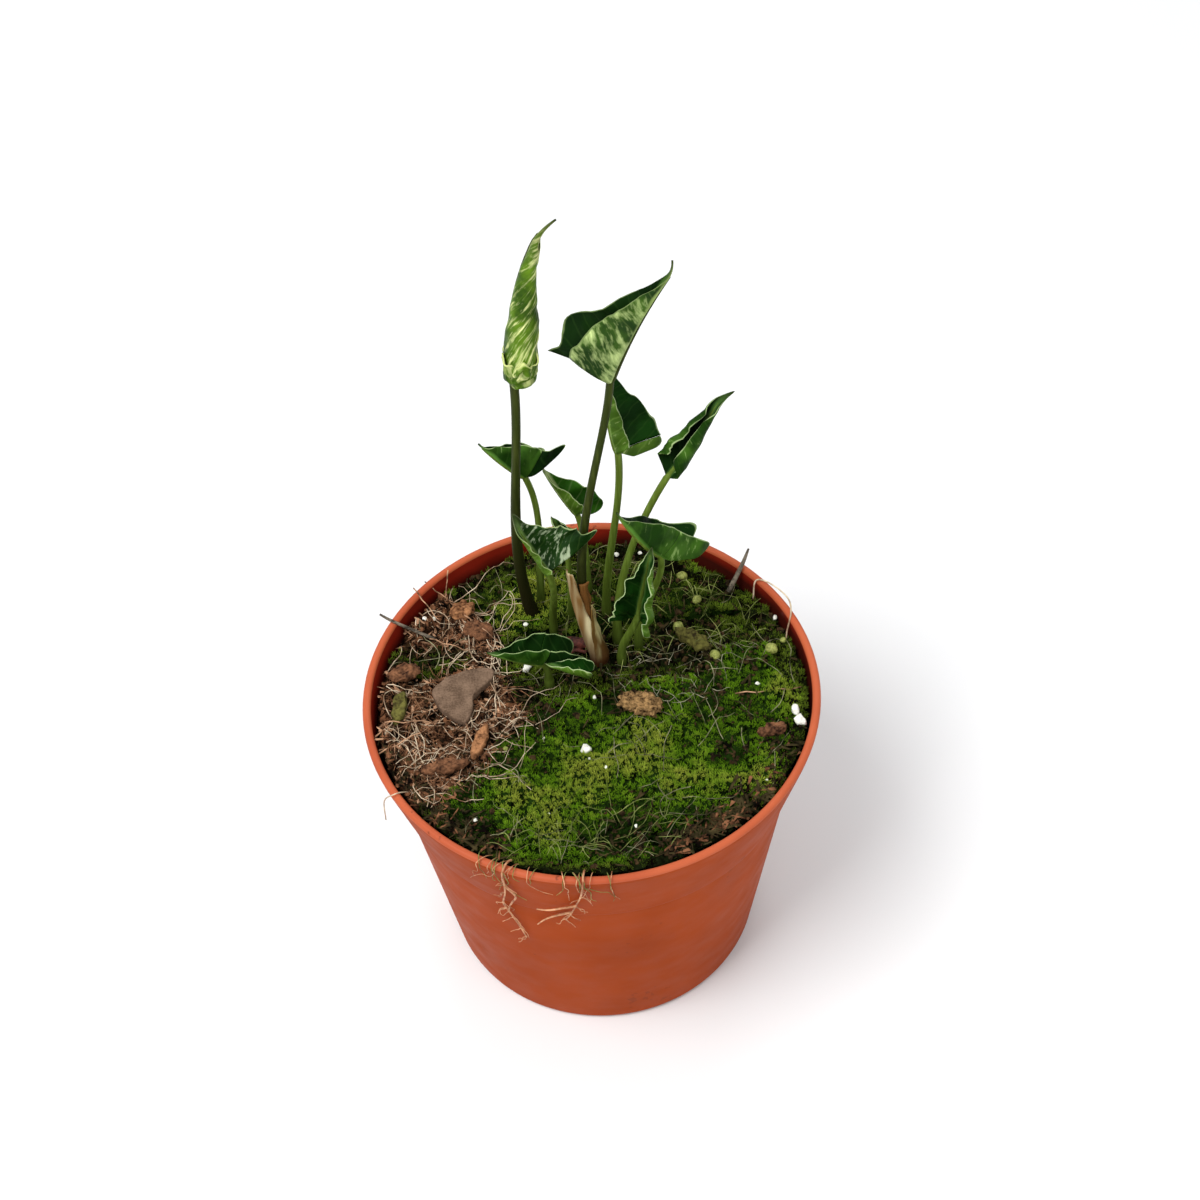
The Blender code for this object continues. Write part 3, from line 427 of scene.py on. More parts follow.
@dataclass(frozen=True)
class StalkSkin(Finish):
    """Smooth stalk with faint lines along it, browner near the soil."""

    low: str = "#3A3418"
    high: str = "#59702E"
    streak: str = "#7C9440"
    turn_at: Pair = (92.0, 112.0)
    line: float = 0.9
    contrast: float = 0.55

    def paint(self, tree: Tree, place: Socket) -> Painted:
        """Lines along the stalk, as wide as the field says, and a slow change of colour with height.

        Args:
            tree: The material's node tree.
            place: Object coordinates in metres.

        Returns:
            Sockets of the colour, the roughness or None, and the height.
        """
        height = add(tree, "SeparateXYZ", {0: place}, "Z")
        rise = add(tree, "MapRange", {"Value": height, "From Min": self.turn_at[0] * MM,
                                      "From Max": self.turn_at[1] * MM})
        body = add(tree, "Mix", {0: rise, 6: self.low, 7: self.high}, 2, data_type="RGBA")
        drawn = add(tree, "Mapping", {"Vector": place, "Scale": (1.0, 1.0, 0.06)})
        lines = add(tree, "TexNoise", {"Vector": drawn, "Scale": per_metre(self.line), "Detail": 2.0})
        part = add(tree, "MapRange", {"Value": lines, "From Min": 0.45, "From Max": 0.75, "To Max": self.contrast})
        fading = add(tree, "Math", {0: part, 1: rise}, operation="MULTIPLY")
        return add(tree, "Mix", {0: fading, 6: body, 7: self.streak}, 2, data_type="RGBA"), None, lines


# Moulded polypropylene: satin and clean outside, paler on the lip as painted light, darker inside as painted shade,
# and inside a stain of soil and painted shade up to the soil line.
# Every finish starts with its name, roughness, specular level and relief in millimetres.
POT_OUTSIDE = MouldedPolypropylene("moulded_polypropylene_outside", 0.5, 0.04, 0.01)
# The lip's paler body and cloud colours are painted light on the rim's top; its extra specks are soil
POT_LIP = MouldedPolypropylene("moulded_polypropylene_lip", 0.45, 0.15, 0.03, body="#B85A38", cloud="#A84C2E",
                               speck_share=0.55)
# The inside's darker body and cloud colours are painted shade; its specks are soil, and the stain up to the soil line
# is soil with painted shade
POT_INSIDE = MouldedPolypropylene("moulded_polypropylene_inside", 0.5, 0.12, 0.03, body="#8E2212", cloud="#6C180D",
                                  speck_share=0.7, soil_line=89.5)

# Peat and moss: matt and nearly black where moist and shaded, bright only at the tips of the shoots
PEAT = PeatAndMoss("moist_peat", 0.95, 0.0, 0.9)
MOSS_BRIGHT = Moss("moss_shoots_bright", 0.9, 0.05)
MOSS_DARK = Moss("moss_shoots_dark", 0.9, 0.05, shade="#0A0D04", deep="#304214", bright="#86A030",
                 yellow="#C4C870")

# Then the dark and the light colour, and the sizes of patches and grain in millimetres.
# Broken fibre and crumbs: dry and dull, light against dark colours near black, which are partly their own dark and
# partly painted shade of the hollows between them
MOSS_GROUND = Grainy("moss_cushion", 0.95, 0.0, 0.8, "#030401", "#1E320D", 3.0, 0.9)
CRUMB_BROWN = Grainy("peat_crumb_brown", 0.95, 0.05, 0.2, "#0A0503", "#865A3E", 5.0, 1.6, (0.43, 0.6))
CRUMB_DARK = Grainy("peat_crumb_dark", 0.95, 0.1, 0.2, "#070503", "#4A3822", 4.0, 1.0)
FIBRE = Grainy("peat_fibre", 0.9, 0.05, 0.1, "#0C0603", "#966A4C", 4.0, 2.0, (0.42, 0.6))
STRAW = Grainy("broken_straw", 0.9, 0.05, 0.1, "#3A2012", "#C69A78", 5.0, 2.5)
BITS_DARK = Grainy("rotted_bits", 0.95, 0.05, 0.1, "#060502", "#443B24", 5.0, 2.5)

# Living and dried roots and strands: smoother, with a faint shine along them
ROOT_PALE = Grainy("fine_root_pale", 0.7, 0.1, 0.1, "#7A5A40", "#EAD6B8", 7.0, 2.0)
ROOT_GREY = Grainy("fine_root_grey", 0.7, 0.1, 0.1, "#5E5A44", "#BDB69C", 7.0, 2.0)
ROOT_DARK = Grainy("fine_root_dark", 0.8, 0.2, 0.1, "#24240F", "#A8A47E", 9.0, 2.0)
STRAND = Grainy("moss_strand", 0.7, 0.2, 0.1, "#3C4718", "#9EA65E", 9.0, 2.0)
ROOT_OVER = Grainy("root_over_the_rim", 0.6, 0.3, 0.1, "#8F5434", "#E0AC80", 6.0, 1.5)

# Weathered slate and pine bark: matt, with relief deep enough to catch light at its edges
STONE = Grainy("slate_flake", 0.9, 0.2, 0.15, "#554233", "#7E6653", 3.5, 0.5)
BARK = Grainy("pine_bark", 0.95, 0.1, 0.5, "#2C1A12", "#875C40", 2.6, 0.8)
BARK_TAN = Grainy("pine_bark_tan", 0.95, 0.1, 0.5, "#4E2E1C", "#B07C54", 2.2, 0.7)
BARK_PALE = Grainy("pine_bark_pale", 0.95, 0.1, 0.6, "#2E1E10", "#B08A5A", 1.8, 0.6)
BARK_MOSSY = Grainy("mossy_bark", 0.95, 0.1, 0.5, "#2C2414", "#6E6A34", 2.6, 0.8)
OLD_STEM_BARK = Grainy("withered_stem", 0.7, 0.3, 0.1, "#1A0A07", "#5E2A20", 3.0, 0.8)
TWIG = Grainy("dry_twig", 0.85, 0.2, 0.1, "#2B2620", "#8D8170", 3.0, 0.8)

# Perlite is a chalky white foam of glass, a prill has a soft resin shell
PERLITE = Grainy("expanded_perlite", 0.85, 0.2, 0.1, "#D6D3C2", "#FFFFF6", 1.0, 0.4)
PRILL = Grainy("coated_prill", 0.6, 0.3, 0.1, "#5E6428", "#A2A858", 1.0, 0.4)

# Here the colours low down, high up and of the lines, the heights between which they turn, and the lines' width.
# Papery sheaths: dry, with coarse pale fibres; waxy stalks: a soft shine and fine lines
SHEATH_TAN = StalkSkin("dried_sheath", 0.6, 0.15, 0.15, "#3C200E", "#7C5A30", "#E4D6A8", (90.0, 104.0), 3.0, 1.0)
SHEATH_BROWN = StalkSkin("dried_sheath_inner", 0.6, 0.15, 0.15, "#2A160B", "#6E4720", "#8A6030", (88.0, 106.0))
SHEATH_GREEN = StalkSkin("living_sheath", 0.5, 0.15, 0.15, "#3A200D", "#6E5226", "#D6CE94", (90.0, 104.0), 2.0, 1.0)
STALK_OLIVE = StalkSkin("stalk_olive", 0.5, 0.1, 0.06, "#1A1708", "#2E370F", "#4C5420", (92.0, 150.0))
STALK_GREEN = StalkSkin("stalk_green", 0.5, 0.12, 0.06, "#3C4A16", "#576A22", "#7C9540", (88.0, 105.0))


class LeafLook(Enum):
    """The ways that the leaves are coloured."""

    YOUNG = "young"
    SILVER = "silver"
    MOTTLED = "mottled"
    FRESH = "fresh"
    GREEN = "green"
    STRIPED = "striped"


@dataclass(frozen=True)
class LeafColours:
    """The finishes of the upper side and the underside of a leaf; the underside's also covers the cut margin."""

    upper: LeafSkin
    under: LeafSkin

    def materials(self) -> list[bpy.types.Material]:
        """The two materials in slot order."""
        return [self.upper.material(), self.under.material()]


LOOKS = {
    LeafLook.YOUNG: LeafColours(
        LeafSkin("young_leaf_upper", 0.45, specular=0.12, dark="#1A2E08", mid="#42601A", pale="#C3CB84",
                 mottle=0.02, fade=0.0, run=0.0, margin="#AFBA74", rib="#7F9645", streak=(3.4, 2.2), slant=3.2,
                 tip_from=0.74),
        LeafSkin("young_leaf_under", 0.45, specular=0.12, dark="#2A4608", mid="#5C7E18", pale="#DDE298",
                 mottle=0.05, fade=0.0, run=0.03, margin="#C4CC80", rib="#90A64A", vein_share=0.1,
                 streak=(3.4, 2.2), slant=3.2, soft=0.16, tip_from=0.74)),
    LeafLook.SILVER: LeafColours(
        # Its near-black darks are the leaf's own dark green and painted shade inside the fold
        LeafSkin("silver_leaf_upper", 0.5, specular=0.05, dark="#0B2107", mid="#15300C", pale="#8A9F62",
                 mottle=-0.05, fade=0.1, run=0.1, rib="#466A2A", vein_share=0.12, margin="#6E8050"),
        LeafSkin("silver_leaf_under", 0.45, specular=0.12, dark="#1A340A", mid="#40601A", pale="#C4D68C",
                 mottle=0.2, fade=0.02, run=0.55, rib="#9FB664", vein_share=0.1, margin="#6A7C48",
                 streak=(1.6, 2.8), soft=0.42, patchy=1.0)),
    LeafLook.MOTTLED: LeafColours(
        LeafSkin("mottled_leaf_upper", 0.38, specular=0.15, dark="#0E2A07", mid="#1F4012", pale="#B0C09A",
                 mottle=0.02, fade=0.1, run=0.0, rib="#6E8E48", vein_share=0.12, margin="#8FA470",
                 streak=(1.9, 2.6), patchy=0.9, soft=0.1),
        LeafSkin("mottled_leaf_under", 0.42, specular=0.12, dark="#4A6A1C", mid="#6A8A2E", pale="#B9C886",
                 mottle=0.0, fade=0.1, run=0.1, rib="#90AA58", vein_share=0.25, margin="#A2B278")),
    LeafLook.FRESH: LeafColours(
        LeafSkin("fresh_leaf_upper", 0.4, specular=0.12, dark="#1C4409", mid="#326415", pale="#A9BC78",
                 mottle=-0.06, fade=0.1, run=0.1, rib="#B4C286", vein_share=0.12, margin="#8CA268"),
        LeafSkin("fresh_leaf_under", 0.42, specular=0.12, dark="#3A5814", mid="#547622", pale="#B0C078",
                 mottle=0.02, fade=0.05, run=0.1, rib="#9FB768", vein_share=0.25, margin="#A2B27C")),
    LeafLook.GREEN: LeafColours(
        # Its near-black darks are the leaf's own dark green and painted shade inside the fold
        LeafSkin("green_leaf_upper", 0.5, specular=0.03, dark="#081B05", mid="#112D0A", pale="#7E9A5A",
                 mottle=-0.12, fade=0.0, run=0.0, rib="#466A2F", vein_share=0.12, margin="#8FA56C"),
        LeafSkin("green_leaf_under", 0.5, specular=0.05, dark="#173407", mid="#3A5E19", pale="#86A35C",
                 mottle=-0.03, fade=0.0, run=0.0, rib="#5C8A36", vein_share=0.08, margin="#97AC74")),
    LeafLook.STRIPED: LeafColours(
        LeafSkin("striped_leaf_upper", 0.5, specular=0.05, dark="#0C2807", mid="#18400E", pale="#8CA35F",
                 mottle=-0.09, fade=0.1, run=0.1, rib="#527434", vein_share=0.12, margin="#98AC76"),
        LeafSkin("striped_leaf_under", 0.42, specular=0.12, dark="#3A5814", mid="#547622", pale="#B0C078",
                 mottle=0.02, fade=0.05, run=0.1, rib="#86A64F", vein_share=0.25, margin="#A3B582")),
}


@dataclass(frozen=True)
class LeafForm:
    """One leaf in millimetres and degrees. Pairs give the left and the right half of the blade."""

    name: str
    foot: tuple
    base: tuple
    tip: tuple
    face: tuple
    half: tuple
    fold: tuple
    curl: tuple
    lobe: tuple = (0.0, 0.0)
    spread: tuple = (0.85, 0.85)
    lift: tuple = (0.0, 0.0)
    rise: tuple = (0.0, 0.0)
    full: float = 1.0
    bow: float = -0.03
    twist: float = 0.0
    hook: tuple = (0.0, 0.0, 0.0)
    hook_from: float = 0.8
    wave: float = 0.5
    waves: float = 3.0
    bulge: tuple = (0.0, 0.0)
    neck: tuple = (0.0, 0.0)
    stalk: tuple = (1.1, 0.85)
    look: LeafLook = LeafLook.GREEN
    skin: StalkSkin = STALK_GREEN
    slot: str = "leaf"
    crumple: float = 0.3
    ruffle: float = 0.28
    ragged: float = 0.06


LEAVES = (
    LeafForm("leaf_01_rolled", foot=(-14.5, 31.5), base=(-14.1, 34.0, 177.8), tip=(-3.5, 31.5, 224.8),
             face=(0.85, -0.5, 0.1), half=(16.5, 12.5), fold=(4, 4), curl=(205, 235), lift=(0.2, 0.1),
             full=0.85, bow=-0.06, twist=12, hook=(2.6, 0.0, -0.2), hook_from=0.82, wave=0.2, waves=2,
             bulge=(-6.2, 0.0), neck=(1.5, 0.0), stalk=(1.7, 1.15), look=LeafLook.YOUNG, skin=STALK_OLIVE,
             slot="leaf_young", crumple=0.6, ruffle=0.08),
    LeafForm("leaf_02_tall", foot=(2.8, 14.0), base=(9.3, 24.0, 180.9), tip=(25.7, 23.0, 216.8),
             face=(-0.8, 0.05, 0.45), half=(17.0, 12.8), fold=(66, 88), curl=(76, 100),
             lift=(-0.05, 0.35), full=1.2, bow=0.03, hook=(-1.4, 0.0, 1.2), hook_from=0.88,
             wave=0.8, waves=2.5, bulge=(-9.7, 5.0), neck=(2.7, 2.5), stalk=(1.45, 1.0),
             look=LeafLook.SILVER, skin=STALK_OLIVE, ragged=0.2, crumple=0.5),
    LeafForm("leaf_03_back", foot=(5.6, 29.8), base=(10.6, 30.0, 150.2), tip=(10.0, 30.5, 178.3),
             face=(0.85, -0.5, 0.1), half=(5.0, 11.8), fold=(80, 40), curl=(100, 50), lobe=(0.0, 0.14),
             full=0.75, lift=(0.6, 0.0), bow=-0.06, stalk=(1.2, 0.95), look=LeafLook.STRIPED),
    LeafForm("leaf_04_right", foot=(8.0, 20.5), base=(22.2, 23.0, 147.3), tip=(36.4, 23.0, 176.1),
             face=(-0.55, -0.65, 0.3), half=(10.5, 8.2), fold=(20, 30), curl=(160, 175),
             lift=(0.75, 0.85), full=0.8, bow=-0.07, hook=(2.6, 0.0, -0.3), wave=0.4,
             bulge=(0.0, 2.5), neck=(0.0, 3.0), stalk=(1.2, 0.9)),
    LeafForm("leaf_05_low_right", foot=(13.6, 18.5), base=(19.6, 12.0, 131.0), tip=(9.2, 9.5, 150.6),
             face=(0.45, 0.5, 0.72), half=(8.4, 10.0), fold=(78, 42), curl=(98, 62), lobe=(0.6, 0.5),
             spread=(0.75, 0.7), rise=(4.6, 8.5), bow=-0.04, wave=0.4),
    LeafForm("leaf_06_drooping", foot=(8.7, 12.6), base=(13.1, 9.5, 109.8), tip=(17.3, 8.5, 137.6),
             face=(-0.05, -0.8, 0.3), half=(9.0, 8.4), fold=(25, 35), curl=(60, 140), lobe=(0.1, 0.12),
             spread=(1.1, 0.9), lift=(0.5, 0.3), full=0.8, wave=0.8, stalk=(1.15, 1.0),
             look=LeafLook.STRIPED, crumple=1.3, ruffle=0.45, ragged=0.16),
    LeafForm("leaf_07_left", foot=(-12.0, 35.5), base=(-13.7, 37.0, 136.9), tip=(-24.3, 37.0, 149.9),
             face=(0.35, 0.5, 0.75), half=(9.0, 8.6), fold=(75, 62), curl=(98, 80), lobe=(0.34, 0.25),
             spread=(0.9, 0.9), rise=(7.0, 3.0), wave=0.7),
    LeafForm("leaf_08_inner", foot=(1.0, 38.5), base=(-0.7, 43.5, 114.4), tip=(-9.1, 43.5, 133.7),
             face=(0.75, -0.35, 0.5), half=(4.7, 7.7), fold=(78, 45), curl=(98, 56), lobe=(0.0, 0.22),
             full=1.1, lift=(0.5, 0.0), wave=0.4, look=LeafLook.FRESH),
    LeafForm("leaf_09_mottled", foot=(-9.0, 26.0), base=(-9.0, 14.5, 124.1), tip=(-15.7, 12.0, 144.8),
             face=(0.25, -0.8, 0.6), half=(5.4, 13.0), fold=(85, 15), curl=(110, 25), lobe=(0.0, 0.18),
             spread=(0.8, 1.7), lift=(0.4, 0.45), full=0.6, bow=-0.08, hook=(-0.8, 0.0, 4.6),
             stalk=(1.1, 0.9), look=LeafLook.MOTTLED),
    LeafForm("leaf_10_bud", foot=(-4.0, 29.5), base=(-5.0, 31.0, 120.1), tip=(-7.2, 31.0, 127.2),
             face=(0.5, -0.6, 0.5), half=(4.2, 4.2), fold=(50, 50), curl=(110, 95), bow=-0.05, wave=0.3,
             stalk=(0.9, 0.7), look=LeafLook.STRIPED, slot="leaf_young", crumple=0.5),
    LeafForm("leaf_11_front", foot=(-10.9, 6.7), base=(-12.6, 5.0, 99.6), tip=(-26.1, 3.5, 107.4),
             face=(0.1, 0.3, 0.9), half=(7.2, 8.4), fold=(48, 60), curl=(84, 92), lobe=(0.9, 0.6),
             spread=(1.1, 0.8), rise=(-3.0, 0.0), wave=0.4, stalk=(1.2, 0.85)),
)


def between(points: tuple, x: float) -> float:
    """The value at x on the broken line through points of (x, value).

    Args:
        points: Corners of the line, in order of x.
        x: Where to read it.

    Returns:
        The value, held level beyond the ends.
    """
    for (x0, a), (x1, b) in zip(points, points[1:]):
        if x <= x1:
            break
    share = min(max((x - x0) / (x1 - x0), 0.0), 1.0)
    return a + (b - a) * share


def lump(x: float, y: float, size: float, seed: float) -> float:
    """A smooth random value from about -1 to 1 whose bumps are about that size in millimetres."""
    return noise.noise(Vector((x / size, y / size, seed)))


def meshed(name: str, bm: bmesh.types.BMesh) -> bpy.types.Mesh:
    """Turn a bmesh into a mesh and free it.

    Args:
        name: The mesh's name.
        bm: Its shape.

    Returns:
        The new mesh.
    """
    mesh = bpy.data.meshes.new(name)
    bm.to_mesh(mesh)
    bm.free()
    return mesh


def placed(name: str, data: bpy.types.ID) -> bpy.types.Object:
    """Put a new object with that data into the scene.

    Args:
        name: The object's name.
        data: Its mesh, curve, light or camera.

    Returns:
        The new object.
    """
    obj = bpy.data.objects.new(name, data)
    bpy.context.scene.collection.objects.link(obj)
    return obj


def finished(name: str, bm: bmesh.types.BMesh, materials: list[bpy.types.Material],
             node: str | None = None, sharp: float = 180.0) -> bpy.types.Object:
    """Turn a bmesh in millimetres into a piece that rides on the plant's one body.

    Args:
        name: The piece's name.
        bm: Its shape, which is freed.
        materials: Its material slots.
        node: The solid that it stands for, if any.
        sharp: Edges that turn by more than this many degrees stay sharp.

    Returns:
        The new object.
    """
    bmesh.ops.scale(bm, verts=bm.verts, vec=(MM, MM, MM))
    mesh = meshed(name, bm)
    for made in materials:
        mesh.materials.append(made)
    mesh.shade_smooth()
    if sharp < 180.0:
        mesh.set_sharp_from_angle(angle=math.radians(sharp))
    obj = placed(name, mesh)
    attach(obj, "root")
    if node:
        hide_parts(node)
    return obj


def applied(obj: bpy.types.Object) -> None:
    """Apply an object's modifiers to its mesh.

    Args:
        obj: The object, which keeps its name.
    """
    mesh = bpy.data.meshes.new_from_object(obj.evaluated_get(bpy.context.evaluated_depsgraph_get()))
    obj.modifiers.clear()
    obj.data = mesh


def thickened(sheet: bpy.types.Object, wall: float, **settings) -> None:
    """Thicken a sheet inwards by a wall in millimetres, with more settings of the modifier.

    Args:
        sheet: The open sheet.
        wall: The thickness of its wall.
        settings: More settings of the modifier.
    """
    shell = sheet.modifiers.new("Thickness", "SOLIDIFY")
    for name, value in {"thickness": wall * MM, "offset": -1.0, **settings}.items():
        setattr(shell, name, value)
    applied(sheet)


def closed_by(bm: bmesh.types.BMesh, dist: float = 1e-4) -> None:
    """Merge doubles and turn all faces outwards."""
    bmesh.ops.remove_doubles(bm, verts=bm.verts, dist=dist)
    bmesh.ops.recalc_face_normals(bm, faces=bm.faces)


def verts_of(made: list) -> list[bmesh.types.BMVert]:
    """The vertices among the elements that an operator made."""
    return [item for item in made if isinstance(item, bmesh.types.BMVert)]


def curve_span(a: Vector, b: Vector, c: Vector, d: Vector, steps: int) -> list[Vector]:
    """Points from b on towards c on the smooth curve through four points."""
    return [0.5 * (2 * b + (c - a) * t + (2 * a - 5 * b + 4 * c - d) * t**2 + (3 * b - a - 3 * c + d) * t**3)
            for t in (k / steps for k in range(steps))]


def smooth(points: list[Vector], per_span: int) -> list[Vector]:
    """Points on a smooth curve through the given ones.

    Args:
        points: Points to pass through.
        per_span: How many to give for each span.

    Returns:
        The points in order, the last one included.
    """
    ends = [2 * points[0] - points[1], *points, 2 * points[-1] - points[-2]]
    spans = zip(ends, ends[1:], ends[2:], ends[3:])
    return [*(point for span in spans for point in curve_span(*span, per_span)), points[-1]]


def threads(name: str, runs: list[Run], sides: int, finish: Finish, node: str | None = None) -> None:
    """Make a piece of closed tubes along runs of points with a radius at each.

    Args:
        name: The piece's name.
        runs: One list of (point, radius) for each thread, in millimetres.
        sides: Number of faces round a thread, even and at least 4.
        finish: Its surface.
        node: The solid that it stands for, if any.
    """
    data = bpy.data.curves.new(name, "CURVE")
    data.dimensions = "3D"
    data.bevel_depth = MM
    data.bevel_resolution = (sides - 4) // 2
    data.use_fill_caps = True
    for run in runs:
        line = data.splines.new("POLY")
        line.points.add(len(run) - 1)
        for point, (place, radius) in zip(line.points, run):
            point.co = (*(place * MM), 1.0)
            point.radius = radius
    curve = placed(name + "_route", data)
    mesh = bpy.data.meshes.new_from_object(curve.evaluated_get(bpy.context.evaluated_depsgraph_get()))
    bpy.data.objects.remove(curve)
    bm = bmesh.new()
    bm.from_mesh(mesh)
    closed_by(bm, 1e-7)
    bmesh.ops.scale(bm, verts=bm.verts, vec=(1 / MM,) * 3)
    finished(name, bm, [finish.material()], node)


def scatter(name: str, patterns: list[bpy.types.Mesh], places: list[Matrix], finish: Finish) -> None:
    """Make a piece of small modelled patterns copied to many places, noting how lush the moss is at each.

    Args:
        name: The piece's name.
        patterns: The meshes to copy, taken in turn.
        places: Where each copy goes, in millimetres.
        finish: Its surface.
    """
    bm = bmesh.new()
    for i, place in enumerate(places):
        copy = patterns[i % len(patterns)].copy()
        copy.transform(place)
        lush = copy.attributes.new("lush", "FLOAT", "POINT")
        lush.data.foreach_set("value", [GROUND.lush(*place.translation.xy)] * len(copy.vertices))
        bm.from_mesh(copy)
        bpy.data.meshes.remove(copy)
    finished(name, bm, [finish.material()], sharp=40.0)


@dataclass(frozen=True)
class Ground:
    """Heights of the soil and the moss in the pot, and what grows where.

    The soil is raised in a crown round the stalks and banked up against the wall from bank_from outwards.
    A relief is a row of bumps: their height, their size and a seed.
    """

    crown: Place = (-3.0, 22.0, 1.2)
    crown_spread: float = 320.0
    bank_from: float = 49.0
    bank_width: float = 6.5
    bright_from: float = 0.58
    overgrown: Pair = (-43.0, 18.0)
    tongues: tuple = ((1.6, 4.0), (0.8, 1.7))
    moss_relief: tuple = ((1.1, 5.0, 2.0), (0.9, 2.4, 5.0))
    soil_relief: tuple = ((0.9, 5.5, 1.0), (0.9, 2.1, 4.0), (0.4, 1.0, 8.0))
    lush_relief: tuple = ((0.35, 9.0, 11.0), (0.3, 3.2, 12.0))
    lush_middle: float = 0.35

    def soil(self, x: float, y: float) -> float:
        """Height of the root ball's top at a place, as in the solids.

        Args:
            x, y: The place in millimetres.

        Returns:
            The height in millimetres.
        """
        lumps = noise.noise(Vector((x * 0.045, y * 0.045, 3.0))) * 2.0
        crown_x, crown_y, rise = self.crown
        crown = rise * math.exp(-((x - crown_x) ** 2 + (y - crown_y) ** 2) / self.crown_spread)
        edge = max(0.0, math.hypot(x, y) / RIM_RADIUS - 0.8) ** 2
        return SOIL_LEVEL - SOIL_TILT * (y + 10) + lumps + crown - SOIL_DROP * edge

    def wall_radius(self, height: float) -> float:
        """Radius of the pot's outer face at a height.

        Args:
            height: The height in millimetres.

        Returns:
            The radius in millimetres.
        """
        if height >= COLLAR_FOOT:
            share = (height - COLLAR_FOOT) / (RIM_HEIGHT - COLLAR_FOOT)
            return COLLAR_RADIUS + (RIM_RADIUS - COLLAR_RADIUS) * share
        return BASE_RADIUS + (COLLAR_RADIUS - COLLAR_STEP - BASE_RADIUS) * height / COLLAR_FOOT

    def bright(self, x: float, y: float) -> bool:
        """Whether the moss at a place is of the bright kind."""
        return self.on_front(x, y) or self.lush(x, y) > self.bright_from

    def front_rim(self, x: float) -> float:
        """The y of the front moss's outer edge."""
        return -math.sqrt(MOSS_RIM**2 - x * x)

    def ragged(self, edge: tuple, x: float, seed: float) -> float:
        """The y of a mat's edge at x, with large and small tongues.

        Args:
            edge: Corners of the edge, in order of x.
            x: Where along the edge.
            seed: Tells one edge's tongues from another's.

        Returns:
            The y in millimetres.
        """
        y = between(edge, x)
        for i, (height, size) in enumerate(self.tongues):
            y += height * lump(x, 0.0, size, seed + i)
        return y

    def uneven(self, x: float, y: float, start: float, relief: tuple) -> float:
        """Add a relief's bumps at a place to a starting value."""
        for height, size, seed in relief:
            start += height * lump(x, y, size, seed)
        return start

    def front_back(self, x: float) -> float:
        """The y of the bright mat's ragged back edge."""
        return self.ragged(FRONT_MOSS_BACK, x, 21.0)

    def back_front(self, x: float) -> float:
        """The y of the dark mat's ragged front edge."""
        return self.ragged(BACK_MOSS_FRONT, x, 23.0)

    def on_front(self, x: float, y: float) -> bool:
        """Whether the bright mat covers a place."""
        return FRONT_MOSS_X[0] < x < FRONT_MOSS_X[1] and self.front_rim(x) < y < self.front_back(x)

    def on_back(self, x: float, y: float) -> bool:
        """Whether the dark mat covers a place."""
        return BACK_MOSS_X[0] < x < BACK_MOSS_X[1] and self.back_front(x) < y < -self.front_rim(x)

    def moss_rise(self, x: float, y: float) -> float:
        """Thickness of a moss cushion, with the small lumps that the solids leave out."""
        slow = MOSS_THICK + MOSS_SWELL * noise.noise(Vector((x * 0.11, y * 0.11, 9.0)))
        return self.uneven(x, y, slow + 2.4 * (self.lush(x, y) - self.lush_middle), self.moss_relief)

    def crumbly(self, x: float, y: float) -> float:
        """Small unevenness of the soil in millimetres."""
        return (1.0 + 0.7 * self.bare(x, y)) * self.uneven(x, y, 0.0, self.soil_relief)

    def bank(self, x: float, y: float) -> float:
        """How much loose soil is banked up against the wall at a place."""
        near = min(max((math.hypot(x, y) - self.bank_from) / self.bank_width, 0.0), 1.0)
        return (BANK + 1.2 * lump(x, y, 9.0, 31.0)) * near * near * (3 - 2 * near)

    def top(self, x: float, y: float) -> float:
        """Height of whatever lies uppermost at a place: soil or moss.

        Args:
            x, y: The place in millimetres.

        Returns:
            The height in millimetres.
        """
        open_soil = self.soil(x, y) + self.crumbly(x, y) + self.bank(x, y)
        if self.on_front(x, y) or self.on_back(x, y):
            return max(open_soil, self.soil(x, y) + MOSS_GAP + self.moss_rise(x, y))
        return open_soil

    def lush(self, x: float, y: float) -> float:
        """How thickly moss grows at a place, from 0 to 1.

        Args:
            x, y: The place in millimetres.

        Returns:
            The share.
        """
        grown = self.uneven(x, y, 0.3, self.lush_relief)
        for at_x, at_y, reach, amount in LUSH:
            grown += amount * math.exp(-((x - at_x) ** 2 + (y - at_y) ** 2) / reach**2)
        return min(max(grown, 0.0), 1.0)

    def bare(self, x: float, y: float) -> float:
        """How far into the bare brown patch a place is, from 0 to 1.

        Args:
            x, y: The place in millimetres.

        Returns:
            The share.
        """
        inside = max((between(PEAT_EDGE, y) + 3.0 * lump(x, y, 6.0, 6.0) - x) / 3.0, 0.0)
        away_x, away_y = x - self.overgrown[0], y - self.overgrown[1]
        overgrown = 1.4 * math.exp(-(away_x**2 / 120 + away_y**2 / 36))
        return min(inside, 1.0) - min(overgrown, inside, 1.0)


GROUND = Ground()


